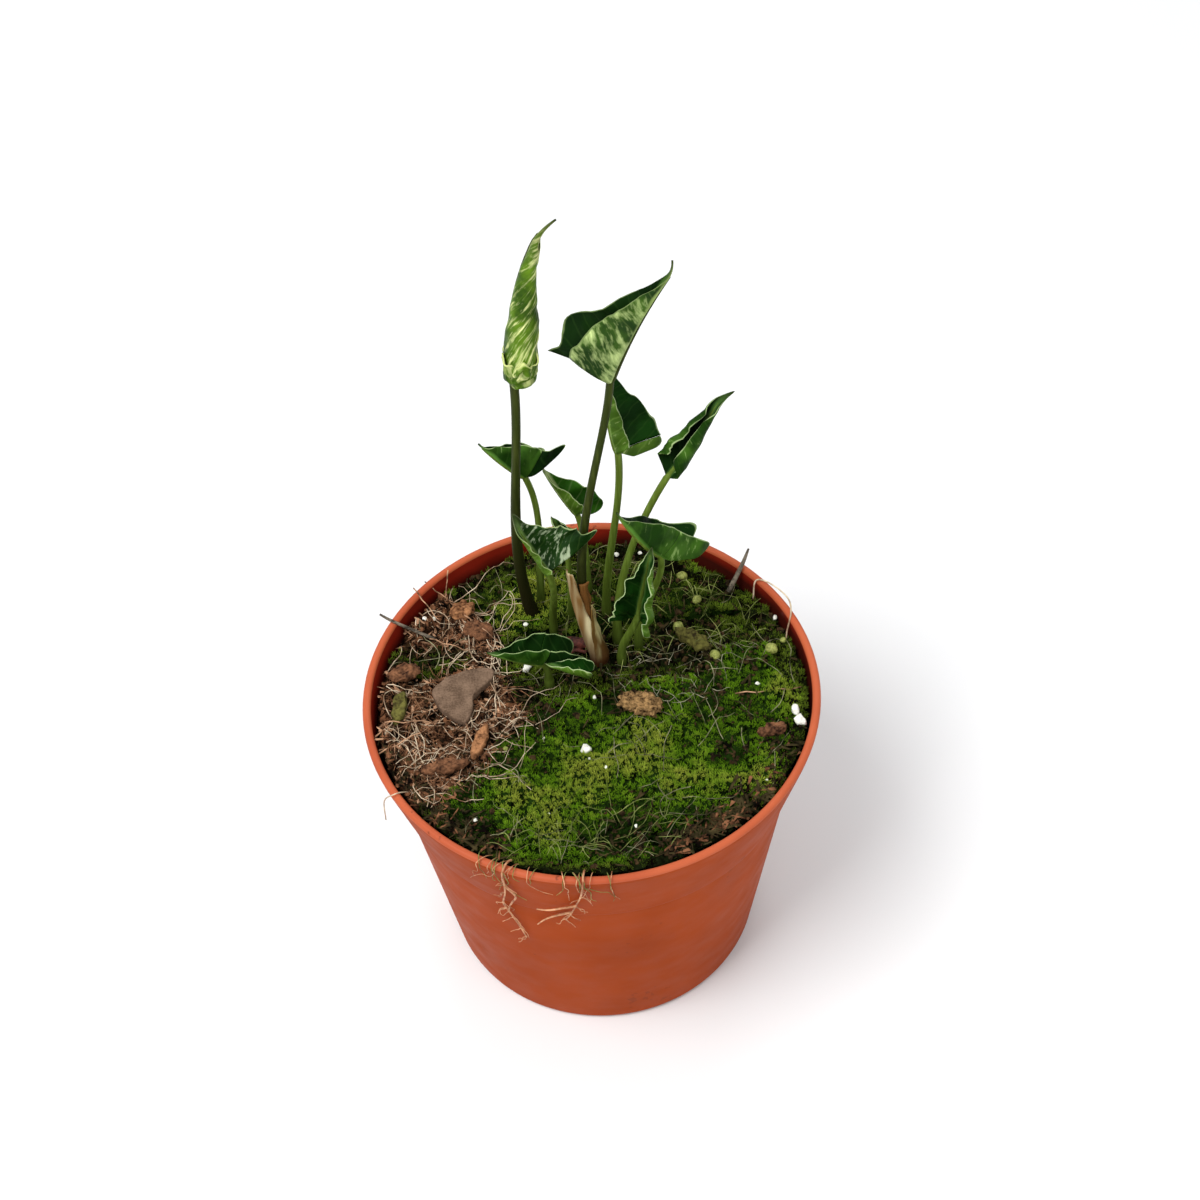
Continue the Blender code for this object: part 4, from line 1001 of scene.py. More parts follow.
@dataclass
class NurseryPot:
    """The pot: a thin wall turned round its axis, with a rolled lip, a step under the collar and drain holes."""

    steps: int = 160
    round_steps: int = 5

    def profile(self) -> list[Pair]:
        """Half section of the pot from the middle of its inner floor, over the lip, to the middle underneath.

        Returns:
            Points of (radius, height).
        """
        floor = CHANNEL_LIFT + FLOOR
        body = COLLAR_RADIUS - COLLAR_STEP
        foot_in = BASE_RADIUS - FOOT_WIDTH
        lip = [(RIM_RADIUS - RIM_LIP / 2 + RIM_LIP / 2 * math.cos(a), RIM_HEIGHT - 1.0 + math.sin(a))
               for a in (math.pi * (1 - i / (2 * self.round_steps)) for i in range(2 * self.round_steps + 1))]
        return [
            (0.0, floor), (BASE_RADIUS - WALL - 0.8, floor), (BASE_RADIUS - WALL, floor + 0.8),
            (body - WALL, COLLAR_FOOT - 1.2), (COLLAR_RADIUS - WALL, COLLAR_FOOT),
            (RIM_RADIUS - RIM_LIP, LIP_FOOT), *lip, (RIM_RADIUS - 0.35, RIM_HEIGHT - 2.6),
            (COLLAR_RADIUS + 0.1, COLLAR_FOOT + 0.3), (COLLAR_RADIUS - 0.1, COLLAR_FOOT - 0.3),
            (body, COLLAR_FOOT - 0.9), (body - 0.1, COLLAR_FOOT - 1.5),
            (BASE_RADIUS + 1.2, 1.9), (BASE_RADIUS + 0.9, 1.0), (BASE_RADIUS + 0.45, 0.25), (BASE_RADIUS, 0.0),
            (foot_in, 0.0), (foot_in - 1.2, CHANNEL_LIFT), (CENTRE_RADIUS + 1.2, CHANNEL_LIFT),
            (CENTRE_RADIUS, 0.0), (0.0, 0.0),
        ]

    def build(self) -> None:
        """Turn the profile, sort its faces into outside, lip and inside, and cut the drain holes."""
        bm = bmesh.new()
        verts = [bm.verts.new((radius, 0.0, height)) for radius, height in self.profile()]
        edges = [bm.edges.new(pair) for pair in zip(verts, verts[1:])]
        bmesh.ops.spin(bm, geom=[*verts, *edges], cent=(0, 0, 0), axis=(0, 0, 1), angle=2 * math.pi,
                       steps=self.steps, use_merge=True)
        closed_by(bm)
        for face in bm.faces:
            middle = face.calc_center_median()
            outwards = face.normal.x * middle.x + face.normal.y * middle.y
            on_lip = middle.z > RIM_HEIGHT - 1.3
            face.material_index = 1 if on_lip else (2 if outwards < -1e-3 and middle.z > FLOOR else 0)
        finishes = [finish.material() for finish in (POT_OUTSIDE, POT_LIP, POT_INSIDE)]
        self.drain(finished("nursery_pot", bm, finishes, "pot", 35.0))

    def drain(self, pot: bpy.types.Object) -> None:
        """Cut the drain holes through the floor.

        Args:
            pot: The pot, which is changed.
        """
        bm = bmesh.new()
        for i in range(DRAIN_COUNT):
            turn = 2 * math.pi * i / DRAIN_COUNT
            ring = bmesh.ops.create_cone(bm, cap_ends=True, segments=32, radius1=DRAIN_RADIUS,
                                         radius2=DRAIN_RADIUS, depth=10.0)
            middle = Vector((DRAIN_RING * math.cos(turn), DRAIN_RING * math.sin(turn), 2.0))
            bmesh.ops.translate(bm, verts=ring["verts"], vec=middle)
        cutter = finished("drain_cutter", bm, [])
        step = pot.modifiers.new("Drain holes", "BOOLEAN")
        step.operation = "DIFFERENCE"
        step.object = cutter
        applied(pot)
        bpy.data.objects.remove(cutter)


@dataclass
class RootBall:
    """The soil with its uneven top, grown through with fibre."""

    steps: int = 170

    def build(self) -> None:
        """Map a square grid to a disc, raise it to the soil's height and close it down to the pot's floor."""
        bm = bmesh.new()
        bmesh.ops.create_grid(bm, x_segments=self.steps, y_segments=self.steps, size=1.0)
        spare = WALL + CLEAR + 0.3
        edge = GROUND.wall_radius(SOIL_LEVEL) - spare
        bare = bm.verts.layers.float.new("bare")
        for vert in bm.verts:
            u, v = vert.co.x, vert.co.y
            x = u * math.sqrt(1 - v * v / 2) * edge
            y = v * math.sqrt(1 - u * u / 2) * edge
            height = GROUND.soil(x, y)
            inwards = (GROUND.wall_radius(height) - spare) / edge
            on_rim = max(abs(u), abs(v)) > 0.999
            uneven = 0.0 if on_rim else GROUND.crumbly(x, y)
            vert.co = Vector((x * inwards, y * inwards, height + uneven + GROUND.bank(x, y)))
            vert[bare] = GROUND.bare(x, y)
        rim = [e for e in bm.edges if e.is_boundary]
        for radius, height in ((COLLAR_RADIUS - COLLAR_STEP - WALL - CLEAR, COLLAR_FOOT - 1.6),
                               (BASE_RADIUS - WALL - CLEAR - 0.2, CHANNEL_LIFT + FLOOR + CLEAR)):
            made = bmesh.ops.extrude_edge_only(bm, edges=rim)["geom"]
            for vert in verts_of(made):
                turn = math.atan2(vert.co.y, vert.co.x)
                vert.co = Vector((radius * math.cos(turn), radius * math.sin(turn), height))
            rim = [item for item in made if isinstance(item, bmesh.types.BMEdge) and item.is_boundary]
        bmesh.ops.edgeloop_fill(bm, edges=rim)
        closed_by(bm)
        finished("root_ball", bm, [PEAT.material()], "soil", 70.0)


@dataclass
class MossCover:
    """The two cushions of moss and the shoots that stand on them and between them."""

    columns: int = 110
    rows: int = 50
    bright_count: int = 9200
    dark_count: int = 7400
    reach: float = 56.5
    sunk: float = 0.35

    def cushion(self, name: str, node: str, place: Callable[[float, float], Pair]) -> None:
        """Make one closed cushion over the soil.

        Args:
            name: The piece's name.
            node: The solid that it stands for.
            place: Gives x and y at two shares of the way across and back.
        """
        bm = bmesh.new()
        thick = bm.verts.layers.float.new("thick")
        bmesh.ops.create_grid(bm, x_segments=self.columns, y_segments=self.rows, size=0.5)
        for vert in bm.verts:
            u, v = vert.co.x + 0.5, vert.co.y + 0.5
            x, y = place(u, v)
            inwards = min(1.0, min(u, 1 - u) * self.columns / 4, min(v, 1 - v) * self.rows / 3)
            low = GROUND.soil(x, y) - 0.6 + (MOSS_GAP + 0.6) * inwards
            vert.co = Vector((x, y, low))
            vert[thick] = 0.3 + (GROUND.moss_rise(x, y) - 0.3) * inwards
        made = bmesh.ops.extrude_face_region(bm, geom=bm.faces[:])["geom"]
        for vert in verts_of(made):
            vert.co.z += max(vert[thick], 0.3)
        closed_by(bm)
        finished(name, bm, [MOSS_GROUND.material()], node)

    def front(self, u: float, v: float) -> Pair:
        """Place on the bright mat at two shares."""
        x = FRONT_MOSS_X[0] + (FRONT_MOSS_X[1] - FRONT_MOSS_X[0]) * u
        return x, GROUND.front_rim(x) + (GROUND.front_back(x) - GROUND.front_rim(x)) * v

    def back(self, u: float, v: float) -> Pair:
        """Place on the dark mat at two shares.

        Args:
            u: Share of the way to the right.
            v: Share of the way back.

        Returns:
            Its x and y.
        """
        x = BACK_MOSS_X[0] + (BACK_MOSS_X[1] - BACK_MOSS_X[0]) * u
        near = GROUND.back_front(x)
        return x, near + (-GROUND.front_rim(x) - near) * v

    def shoot(self, draw: random.Random, spikes: int, lean: float) -> bpy.types.Mesh:
        """Model one shoot: a star of flat pointed leaflets.

        Args:
            draw: Source of the small differences.
            spikes: Number of leaflets.
            lean: How far they lean out, in degrees.

        Returns:
            A mesh one millimetre high with the attribute 'tip'.
        """
        bm = bmesh.new()
        tip = bm.verts.layers.float.new("tip")
        for i in range(spikes):
            made = bmesh.ops.create_cone(bm, cap_ends=True, segments=3, radius1=0.22, radius2=0.0, depth=1.0)
            verts = made["verts"]
            bmesh.ops.translate(bm, verts=verts, vec=(0, 0, 0.5))
            bmesh.ops.scale(bm, verts=verts, vec=(1.0, 0.5, draw.uniform(0.7, 1.15)))
            for vert in verts:
                vert[tip] = min(max(vert.co.z, 0.0), 1.0)
            out = lean * draw.uniform(0.35, 1.3)
            turn = 360 / spikes * (i + draw.uniform(-0.3, 0.3))
            spin = Matrix.Rotation(math.radians(turn), 3, "Z") @ Matrix.Rotation(math.radians(out), 3, "X")
            bmesh.ops.rotate(bm, verts=verts, cent=(0, 0, 0), matrix=spin)
        return meshed("shoot", bm)

    def places(self, draw: random.Random, count: int, bright: bool) -> list[Matrix]:
        """Draw the places of the shoots.

        Args:
            draw: Source of the places.
            count: How many to place.
            bright: Whether they belong to the bright moss.

        Returns:
            One matrix for each shoot.
        """
        found = []
        while len(found) < count:
            radius = self.reach * math.sqrt(draw.random())
            turn = draw.uniform(0, 2 * math.pi)
            x, y = radius * math.cos(turn), radius * math.sin(turn)
            lush = GROUND.lush(x, y)
            if (GROUND.bright(x, y) != bright or GROUND.bare(x, y) > draw.random() * 0.6
                    or lush < draw.uniform(0.0, 0.42)):
                continue
            tall = draw.uniform(0.7, 1.3) + 0.6 * lush
            wide = draw.uniform(0.8, 1.25)
            tilt = Matrix.Rotation(math.radians(draw.uniform(-30, 30)), 4, "X")
            spin = Matrix.Rotation(draw.uniform(0, 2 * math.pi), 4, "Z")
            size = Matrix.Diagonal((wide, wide, tall, 1.0))
            low = Matrix.Translation((x, y, GROUND.top(x, y) - self.sunk))
            found.append(low @ spin @ tilt @ size)
        return found

    def build(self) -> None:
        """Make the cushions and the shoots."""
        self.cushion("moss_cushion_front", "moss_front", self.front)
        self.cushion("moss_cushion_back", "moss_back", self.back)
        draw = random.Random(SEED)
        shoots = [self.shoot(draw, 5, 42) for _ in range(6)]
        scatter("moss_shoots_bright", shoots, self.places(draw, self.bright_count, True), MOSS_BRIGHT)
        scatter("moss_shoots_dark", shoots, self.places(draw, self.dark_count, False), MOSS_DARK)


@dataclass
class PeatLitter:
    """Crumbs, fibres and fine roots that lie on the soil."""

    brown_crumbs: int = 2200
    dark_crumbs: int = 1300
    fibres: int = 1150
    pale_roots: int = 150
    grey_roots: int = 30
    dark_roots: int = 130
    grass: int = 130
    straws: int = 420
    dark_bits: int = 420
    washed_brown: int = 180
    washed_dark: int = 260
    washed: tuple = ((-72.0, -18.0), (-72.0, -40.0), (-142.0, -116.0), (-172.0, -138.0))
    long_straws: tuple = (((-43.6, 42.2, 92.5), (-35.1, 34.5, 90.0)), ((-37.0, 43.7, 95.0), (-38.3, 38.4, 89.0)),
                          ((-42.5, 23.4, 90.5), (-31.8, 19.1, 89.5)), ((-55.6, -15.6, 92.2), (-42.6, -5.8, 89.5)),
                          ((-54.3, -4.9, 91.5), (-40.0, -4.0, 89.5)), ((-46.5, 38.0, 95.0), (-40.0, 30.0, 90.0)),
                          ((-33.0, 30.5, 91.0), (-24.0, 21.5, 90.0)), ((37.7, -1.3, 89.5), (55.0, -2.2, 91.5)))
    reach: float = 56.0
    wall: float = 55.5

    def crumb(self, draw: random.Random) -> bpy.types.Mesh:
        """Model one uneven crumb, about a millimetre across.

        Args:
            draw: Source of the random differences.

        Returns:
            The crumb's mesh.
        """
        bm = bmesh.new()
        bmesh.ops.create_icosphere(bm, subdivisions=1, radius=0.5)
        for vert in bm.verts:
            vert.co *= draw.uniform(0.65, 1.25)
        return meshed("crumb", bm)

    def flake(self, draw: random.Random) -> bpy.types.Mesh:
        """Model one flat broken bit, a millimetre long.

        Args:
            draw: Source of the random differences.

        Returns:
            The bit's mesh.
        """
        bm = bmesh.new()
        bmesh.ops.create_cone(bm, cap_ends=True, segments=4, radius1=0.16, radius2=draw.uniform(0.04, 0.14),
                              depth=1.0)
        for vert in bm.verts:
            vert.co += Vector((draw.uniform(-0.05, 0.05), 0.0, draw.uniform(-0.12, 0.12)))
        return meshed("flake", bm)

    def laid(self, spot: Pair, lift: float, turn: float, tip: float, wide: float, long: float) -> Matrix:
        """Lay a bit on the ground.

        Args:
            spot: Where it lies.
            lift: How high its middle is above the ground.
            turn: Where it points, in radians.
            tip: How far it is tipped off the flat, in degrees.
            wide: Its width against the pattern's.
            long: Its length in millimetres.

        Returns:
            Its matrix, in millimetres.
        """
        lying = Matrix.Rotation(math.radians(90 + tip), 4, "X")
        shape = Matrix.Diagonal((wide, wide * 0.5, long, 1.0))
        return Matrix.Translation((*spot, GROUND.top(*spot) + lift)) @ Matrix.Rotation(turn, 4, "Z") @ lying @ shape

    def bit_places(self, draw: random.Random, count: int, bare: bool) -> list[Matrix]:
        """Draw where broken bits lie, most of them nearly flat, the dark ones where the moss is thin.

        Args:
            draw: Source of the random differences.
            count: How many to place.
            bare: Whether inside the bare patch.

        Returns:
            One matrix for each bit.
        """
        found = []
        while len(found) < count:
            x, y = self.spot(draw, bare)
            if not bare and GROUND.lush(x, y) > draw.uniform(0.1, 0.5):
                continue
            long, wide, tip = draw.uniform(1.2, 5.0), draw.uniform(1.0, 3.2), draw.gauss(0, 14)
            found.append(self.laid((x, y), 0.5, draw.uniform(0, 2 * math.pi), tip, wide, long))
        return found

    def rim_places(self, draw: random.Random, count: int, long: Pair) -> list[Matrix]:
        """Draw where bits of that length lie along the arcs of the rim that the litter has been washed to.

        Args:
            draw: Source of the random differences.
            count: How many to place.
            long: Least and most length.

        Returns:
            One matrix for each bit.
        """
        found = []
        for _ in range(count):
            turn = math.radians(draw.uniform(*draw.choice(self.washed)))
            radius = draw.triangular(46.0, 57.0, 55.0)
            spot = radius * math.cos(turn), radius * math.sin(turn)
            tip, heading = draw.gauss(0, 12), turn + draw.gauss(0, 0.9)
            found.append(self.laid(spot, 0.6, heading, tip, draw.uniform(1.2, 3.4), draw.uniform(*long)))
        return found

    def spot(self, draw: random.Random, bare: bool) -> Pair:
        """Draw a place inside or outside the bare patch.

        Args:
            draw: Source of the random differences.
            bare: Whether inside the bare patch.

        Returns:
            Its x and y.
        """
        while True:
            radius = self.reach * math.sqrt(draw.random())
            turn = draw.uniform(0, 2 * math.pi)
            x, y = radius * math.cos(turn), radius * math.sin(turn)
            if (GROUND.bare(x, y) > 0.5) == bare:
                return x, y

    def crumb_places(self, draw: random.Random, count: int, bare: bool) -> list[Matrix]:
        """Draw where crumbs lie.

        Args:
            draw: Source of the places.
            count: How many to place.
            bare: Whether they lie in the bare patch.

        Returns:
            One matrix for each crumb.
        """
        found = []
        while len(found) < count:
            x, y = self.spot(draw, bare)
            if not bare and GROUND.lush(x, y) > draw.uniform(0.1, 0.45):
                continue
            if lump(x, y, 3.4, 41.0) < draw.uniform(-0.35, 0.25):
                continue
            size = draw.uniform(0.5, 1.4) if draw.random() < 0.85 else draw.uniform(1.5, 2.6)
            turn = Matrix.Rotation(draw.uniform(0, 6.28), 4, Vector((draw.random(), draw.random(), 1.0)))
            shape = Matrix.Diagonal((size, size * draw.uniform(0.5, 1.0), size * draw.uniform(0.5, 0.9), 1.0))
            found.append(Matrix.Translation((x, y, GROUND.top(x, y) + size * 0.1)) @ turn @ shape)
        return found

    def wander(self, draw: random.Random, start: Pair, length: float, radius: float, bend: float,
               hump: float) -> Run:
        """Let one thread wander over the ground.

        Args:
            draw: Source of its turns.
            start: Where it begins.
            length: Its length in millimetres.
            radius: Its radius.
            bend: How sharply it turns, in radians a step.
            hump: How high it may arch off the ground.

        Returns:
            Its points and radii.
        """
        steps = max(4, min(14, round(length / 1.6)))
        x, y = start
        heading = draw.uniform(0, 2 * math.pi)
        turning = draw.uniform(-bend, bend)
        arch = draw.uniform(0, hump)
        run = []
        for i in range(steps + 1):
            share = i / steps
            lift = radius * 0.7 + arch * math.sin(math.pi * share) + 0.3
            run.append((Vector((x, y, GROUND.top(x, y) + lift)), radius * (1 - 0.4 * share)))
            turning = turning * 0.8 + draw.uniform(-bend, bend) * 0.5
            heading += turning
            x += math.cos(heading) * length / steps
            y += math.sin(heading) * length / steps
            if math.hypot(x, y) > self.wall:
                break
        return run

    def strands(self, draw: random.Random, count: int, bare: bool, lengths: Pair, radii: Pair, bend: float,
                hump: float) -> list[Run]:
        """Draw several wandering threads inside or outside the bare patch.

        Args:
            draw: Source of the random differences.
            count: How many to draw.
            bare: Whether inside the bare patch.
            lengths: Least and most length.
            radii: Least and most radius.
            bend: How sharply they turn.
            hump: How high they may arch.

        Returns:
            Their points and radii.
        """
        found = []
        while len(found) < count:
            run = self.wander(draw, self.spot(draw, bare), draw.uniform(*lengths), draw.uniform(*radii), bend, hump)
            if len(run) > 3:
                found.append(run)
        return found

    def tufts(self, draw: random.Random, starts: list[Pair], lengths: Pair, radii: Pair, bend: float,
              hump: float) -> list[Run]:
        """Draw a wandering thread from each start, leaving out those that meet the wall at once."""
        runs = [self.wander(draw, start, draw.uniform(*lengths), draw.uniform(*radii), bend, hump) for start in starts]
        return [run for run in runs if len(run) > 3]

    def straw(self, start: Place, end: Place, spans: int = 6) -> Run:
        """One long straw with a slight wave, thinner at its end."""
        return [(Vector(start).lerp(Vector(end), k / spans) + Vector((0, 0, 0.5 * math.sin(2.2 * k))),
                 0.2 - 0.015 * k) for k in range(spans + 1)]

    def build(self) -> None:
        """Make the crumbs and the threads."""
        draw = random.Random(SEED + 1)
        crumbs = [self.crumb(draw) for _ in range(6)]
        scatter("peat_crumbs_brown", crumbs, self.crumb_places(draw, self.brown_crumbs, True), CRUMB_BROWN)
        dark = self.crumb_places(draw, self.dark_crumbs, False) + self.crumb_places(draw, self.dark_crumbs // 2, True)
        scatter("peat_crumbs_dark", crumbs, dark, CRUMB_DARK)
        threads("peat_fibres", self.strands(draw, self.fibres, True, (2, 9), (0.06, 0.17), 0.45, 1.4), 4, FIBRE)
        flakes = [self.flake(draw) for _ in range(5)]
        scatter("broken_straws", flakes, self.bit_places(draw, self.straws, True), STRAW)
        scatter("washed_bits_brown", flakes, self.rim_places(draw, self.washed_brown, (1.0, 4.0)), CRUMB_BROWN)
        scatter("washed_bits_dark", flakes, self.rim_places(draw, self.washed_dark, (1.5, 6.0)), BITS_DARK)
        scatter("rotted_bits", flakes, self.bit_places(draw, self.dark_bits, False), BITS_DARK)
        pale = self.strands(draw, self.pale_roots, True, (8, 24), (0.08, 0.16), 0.5, 2.2)
        threads("fine_roots_pale", pale, 6, ROOT_PALE)
        middle = [(draw.uniform(12, 38), draw.uniform(-4, 18)) for _ in range(self.grey_roots)]
        threads("fine_roots_grey", self.tufts(draw, middle, (4, 11), (0.06, 0.12), 0.8, 0.7), 4, ROOT_GREY)
        threads("long_straws", [self.straw(*ends) for ends in self.long_straws], 6, STRAW)
        mossy = [(draw.uniform(-8, 50), draw.uniform(14, 50)) for _ in range(self.grass)]
        mossy += [(draw.uniform(-24, 22), draw.uniform(-53, -36)) for _ in range(self.grass // 2)]
        threads("moss_strands", self.tufts(draw, mossy, (4, 12), (0.06, 0.14), 0.3, 3.5), 4, STRAND)
        loose = self.strands(draw, self.dark_roots, False, (3, 18), (0.06, 0.14), 0.4, 1.8)
        threads("fine_roots_dark", loose, 4, ROOT_DARK)


def outline_width(share: float) -> float:
    """Half width of the blade, as a share of its widest, by cubic pieces through OUTLINE.

    Args:
        share: Share of the blade's length.

    Returns:
        The share of the widest half width.
    """
    share = min(max(share, 0.0), 1.0)
    last = len(OUTLINE) - 1

    def slope(i: int) -> float:
        """Slope of the outline at a point."""
        low, high = max(i - 1, 0), min(i + 1, last)
        return (OUTLINE[high][1] - OUTLINE[low][1]) / (OUTLINE[high][0] - OUTLINE[low][0])

    i = 0
    while i < last - 1 and share > OUTLINE[i + 1][0]:
        i += 1
    span = OUTLINE[i + 1][0] - OUTLINE[i][0]
    t = (share - OUTLINE[i][0]) / span
    ends = (2 * t**3 - 3 * t**2 + 1) * OUTLINE[i][1] + (3 * t**2 - 2 * t**3) * OUTLINE[i + 1][1]
    return ends + span * ((t**3 - 2 * t**2 + t) * slope(i) + (t**3 - t**2) * slope(i + 1))


def arc(start: float, end: float, length: float) -> Pair:
    """Distance out and up along a curve whose slope turns evenly from start to end.

    Args:
        start: Slope at its start, in radians.
        end: Slope at its end.
        length: Its length.

    Returns:
        The distance out and the distance up.
    """
    turn = end - start
    if abs(turn) < 1e-3:
        return length * math.cos(start), length * math.sin(start)
    out = (math.sin(end) - math.sin(start)) / turn
    return length * out, length * (math.cos(start) - math.cos(end)) / turn


def section(fold: float, curl: float, share: float, width: float) -> Place:
    """A half blade cut across, from the rounded keel on: out, up and slope at a share of its width.

    Args:
        fold: Slope beside the keel, in radians.
        curl: Slope at the margin.
        share: Share of the half width.
        width: The half width in millimetres.

    Returns:
        Out, up and slope.
    """
    limit = width / ROLL_RADIUS
    fold = min(fold, limit * 0.6)
    curl = min(curl, limit)
    if share <= KEEL_SHARE:
        slope = fold * share / KEEL_SHARE
        return *arc(0.0, slope, width * share), slope
    keel_out, keel_up = arc(0.0, fold, width * KEEL_SHARE)
    slope = fold + (curl - fold) * (share - KEEL_SHARE) / (1 - KEEL_SHARE)
    out, up = arc(fold, slope, width * (share - KEEL_SHARE))
    return keel_out + out, keel_up + up, slope


class Leaf:
    """Maps a leaf's flat outline to its folded, curled and bowed shape, and builds its blade and stalk."""

    def __init__(self, form: LeafForm) -> None:
        """Work out the blade's own axes.

        Args:
            form: The leaf's sizes.
        """
        self.form = form
        self.base = Vector(form.base)
        self.chord = Vector(form.tip) - self.base
        self.length = self.chord.length
        along = self.chord.normalized()
        self.up = (Vector(form.face) - along * along.dot(Vector(form.face))).normalized()

    def midrib(self, share: float) -> Vector:
        """The midrib's point at a share of its length.

        Args:
            share: The share, negative behind the stalk.

        Returns:
            The point.
        """
        form = self.form
        arch = 4 * share * (1 - share) if share > 0 else 4 * share
        hook = max(share - form.hook_from, 0.0) / (1 - form.hook_from)
        bowed = self.up * form.bow * (self.length * arch)
        return self.base + self.chord * share + bowed + Vector(form.hook) * hook**2

    def frame(self, share: float) -> tuple[Vector, Vector, Vector, Vector]:
        """Midrib point, tangent, upward and leftward directions.

        Args:
            share: The share of the midrib's length.

        Returns:
            The point and the three directions.
        """
        step = 1e-3
        tangent = (self.midrib(share + step) - self.midrib(share - step)).normalized()
        up = (self.up - tangent * tangent.dot(self.up)).normalized()
        turn = Matrix.Rotation(math.radians(self.form.twist) * max(share, -0.3), 3, tangent)
        up = turn @ up
        return self.midrib(share), tangent, up, up.cross(tangent)

    def place(self, side: int, share: float, across: float, width: float, edge: float,
              into_lobe: float) -> tuple[Vector, Place]:
        """Fold a point of the flat outline.

        Args:
            side: 0 for the left half and 1 for the right.
            share: Share of the length, negative in a lobe.
            across: Share of the half width.
            width: That half width.
            edge: Share of the way to the margin.
            into_lobe: Share of the way into the lobe.

        Returns:
            The point, and its place on the flat blade as the skin reads it.
        """
        form = self.form
        point, tangent, up, left = self.frame(share)
        out, high, slope = section(math.radians(form.fold[side]), math.radians(form.curl[side]), across, width)
        wave = form.wave * edge * edge * math.sin(2 * math.pi * form.waves * share + 1.7 * side)
        wave *= min(1.0, width / WAVE_WIDTH)
        flat_x = across * width * (1 if side == 0 else -1)
        flat_y = share * self.length
        crease = form.crumple * noise.noise(Vector((flat_x / 4.0, flat_y / 4.0, 3.0 * side + len(form.name))))
        ruffle = 2.0 * form.ruffle * edge**3 * noise.noise(Vector((flat_y / 1.9, 5.0 * side, form.base[0])))
        wave += (crease * min(1.0, across * 3) + ruffle) * min(1.0, width / WAVE_WIDTH)
        out -= wave * math.sin(slope)
        high += wave * math.cos(slope) + form.rise[side] * into_lobe * into_lobe
        forward = form.lift[side] * width * across * (1 - min(max(share, 0.0), 1.0)) ** 2
        spot = point + left * (out if side == 0 else -out) + up * high + tangent * forward
        return spot, (flat_x, flat_y, edge)

    def body_point(self, side: int, along: float, reach: float) -> tuple[Vector, Place]:
        """A point of the blade in front of the stalk.

        Args:
            side: 0 for the left half and 1 for the right.
            along: Share of the way to the tip.
            reach: Share of the way to the margin.

        Returns:
            The point, and its place on the flat blade.
        """
        share = 1 - (1 - along) ** 1.15
        width = self.form.half[side] * outline_width(share) ** self.form.full
        width *= 1 + self.form.ragged * noise.noise(Vector((share * 6.0, 4.0 * side, self.form.base[0])))
        return self.place(side, share, reach, width, reach, 0.0)

    def lobe_point(self, side: int, turn: float, reach: float) -> tuple[Vector, Place]:
        """A point of the lobe behind the stalk, on spokes from the widest place round to the notch.

        Args:
            side: 0 for the left half and 1 for the right.
            turn: Share of the way round to the notch.
            reach: Share of the way out along the spoke.

        Returns:
            The point, and its place on the flat blade.
        """
        half = self.form.half[side]
        back = self.form.lobe[side] * self.length
        tip = self.form.spread[side] * half
        ends = (half, half, tip, tip)
        shares = ((1 - turn) ** 3, 3 * (1 - turn) ** 2 * turn, 3 * (1 - turn) * turn**2, turn**3)
        along = sum(share * (corner[0] * back) for share, corner in zip(shares, LOBE_CURVE))
        across = sum(share * (corner[1] * end) for share, corner, end in zip(shares, LOBE_CURVE, ends))
        into_lobe = min(1.0, -along * reach / back)
        return self.place(side, along * reach / self.length, across * reach / half, half, reach, into_lobe)

    def add_patch(self, bm: bmesh.types.BMesh, columns: int, rows: int,
                  place: Callable[[int, int], tuple[Vector, Place]]) -> None:
        """Add a grid whose corner (i, j) lies at place(i, j), and note its place on the flat blade.

        Args:
            bm: Where to add it.
            columns: Its faces one way.
            rows: Its faces the other way.
            place: Gives the point and its place on the flat blade.
        """
        flat = bm.verts.layers.float_vector["blade"]
        tipward = bm.verts.layers.float["tipward"]
        for vert in bmesh.ops.create_grid(bm, x_segments=columns, y_segments=rows, size=0.5)["verts"]:
            i = round((vert.co.x + 0.5) * columns)
            j = round((vert.co.y + 0.5) * rows)
            vert.co, vert[flat] = place(i, j)
            vert[tipward] = vert[flat].y / self.length

    def blade(self, node: str) -> None:
        """Build the blade that stands for a node: its sheet with lobes, thickened on the underside.

        Args:
            node: The solid that it stands for.
        """
        form = self.form
        bm = bmesh.new()
        bm.verts.layers.float_vector.new("blade")
        bm.verts.layers.float.new("tipward")
        for side in (0, 1):
            self.add_patch(bm, BODY_STEPS, HALF_STEPS,
                           lambda i, j, s=side: self.body_point(s, i / BODY_STEPS, j / HALF_STEPS))
            if form.lobe[side]:
                self.add_patch(bm, LOBE_STEPS, HALF_STEPS,
                               lambda i, j, s=side: self.lobe_point(s, i / LOBE_STEPS, j / HALF_STEPS))
        bmesh.ops.remove_doubles(bm, verts=bm.verts, dist=1e-3)
        bmesh.ops.dissolve_degenerate(bm, edges=bm.edges, dist=1e-4)
        bmesh.ops.recalc_face_normals(bm, faces=bm.faces)
        middle = self.midrib(LIKELY_UP)
        nearest = min(bm.faces, key=lambda face: (face.calc_center_median() - middle).length)
        if nearest.normal.dot(self.frame(LIKELY_UP)[2]) < 0:
            bmesh.ops.reverse_faces(bm, faces=bm.faces)
        sheet = finished(form.name + "_blade", bm, LOOKS[form.look].materials(), node)
        thick = sheet.vertex_groups.new(name="thick")
        for vert, flat in zip(sheet.data.vertices, sheet.data.attributes["blade"].data):
            thick.add([vert.index], 1 - min(flat.vector.z, 1.0) ** 6, "REPLACE")
        thickened(sheet, BLADE, material_offset=1, material_offset_rim=1, vertex_group=thick.name,
                  thickness_vertex_group=MARGIN_SHARE)

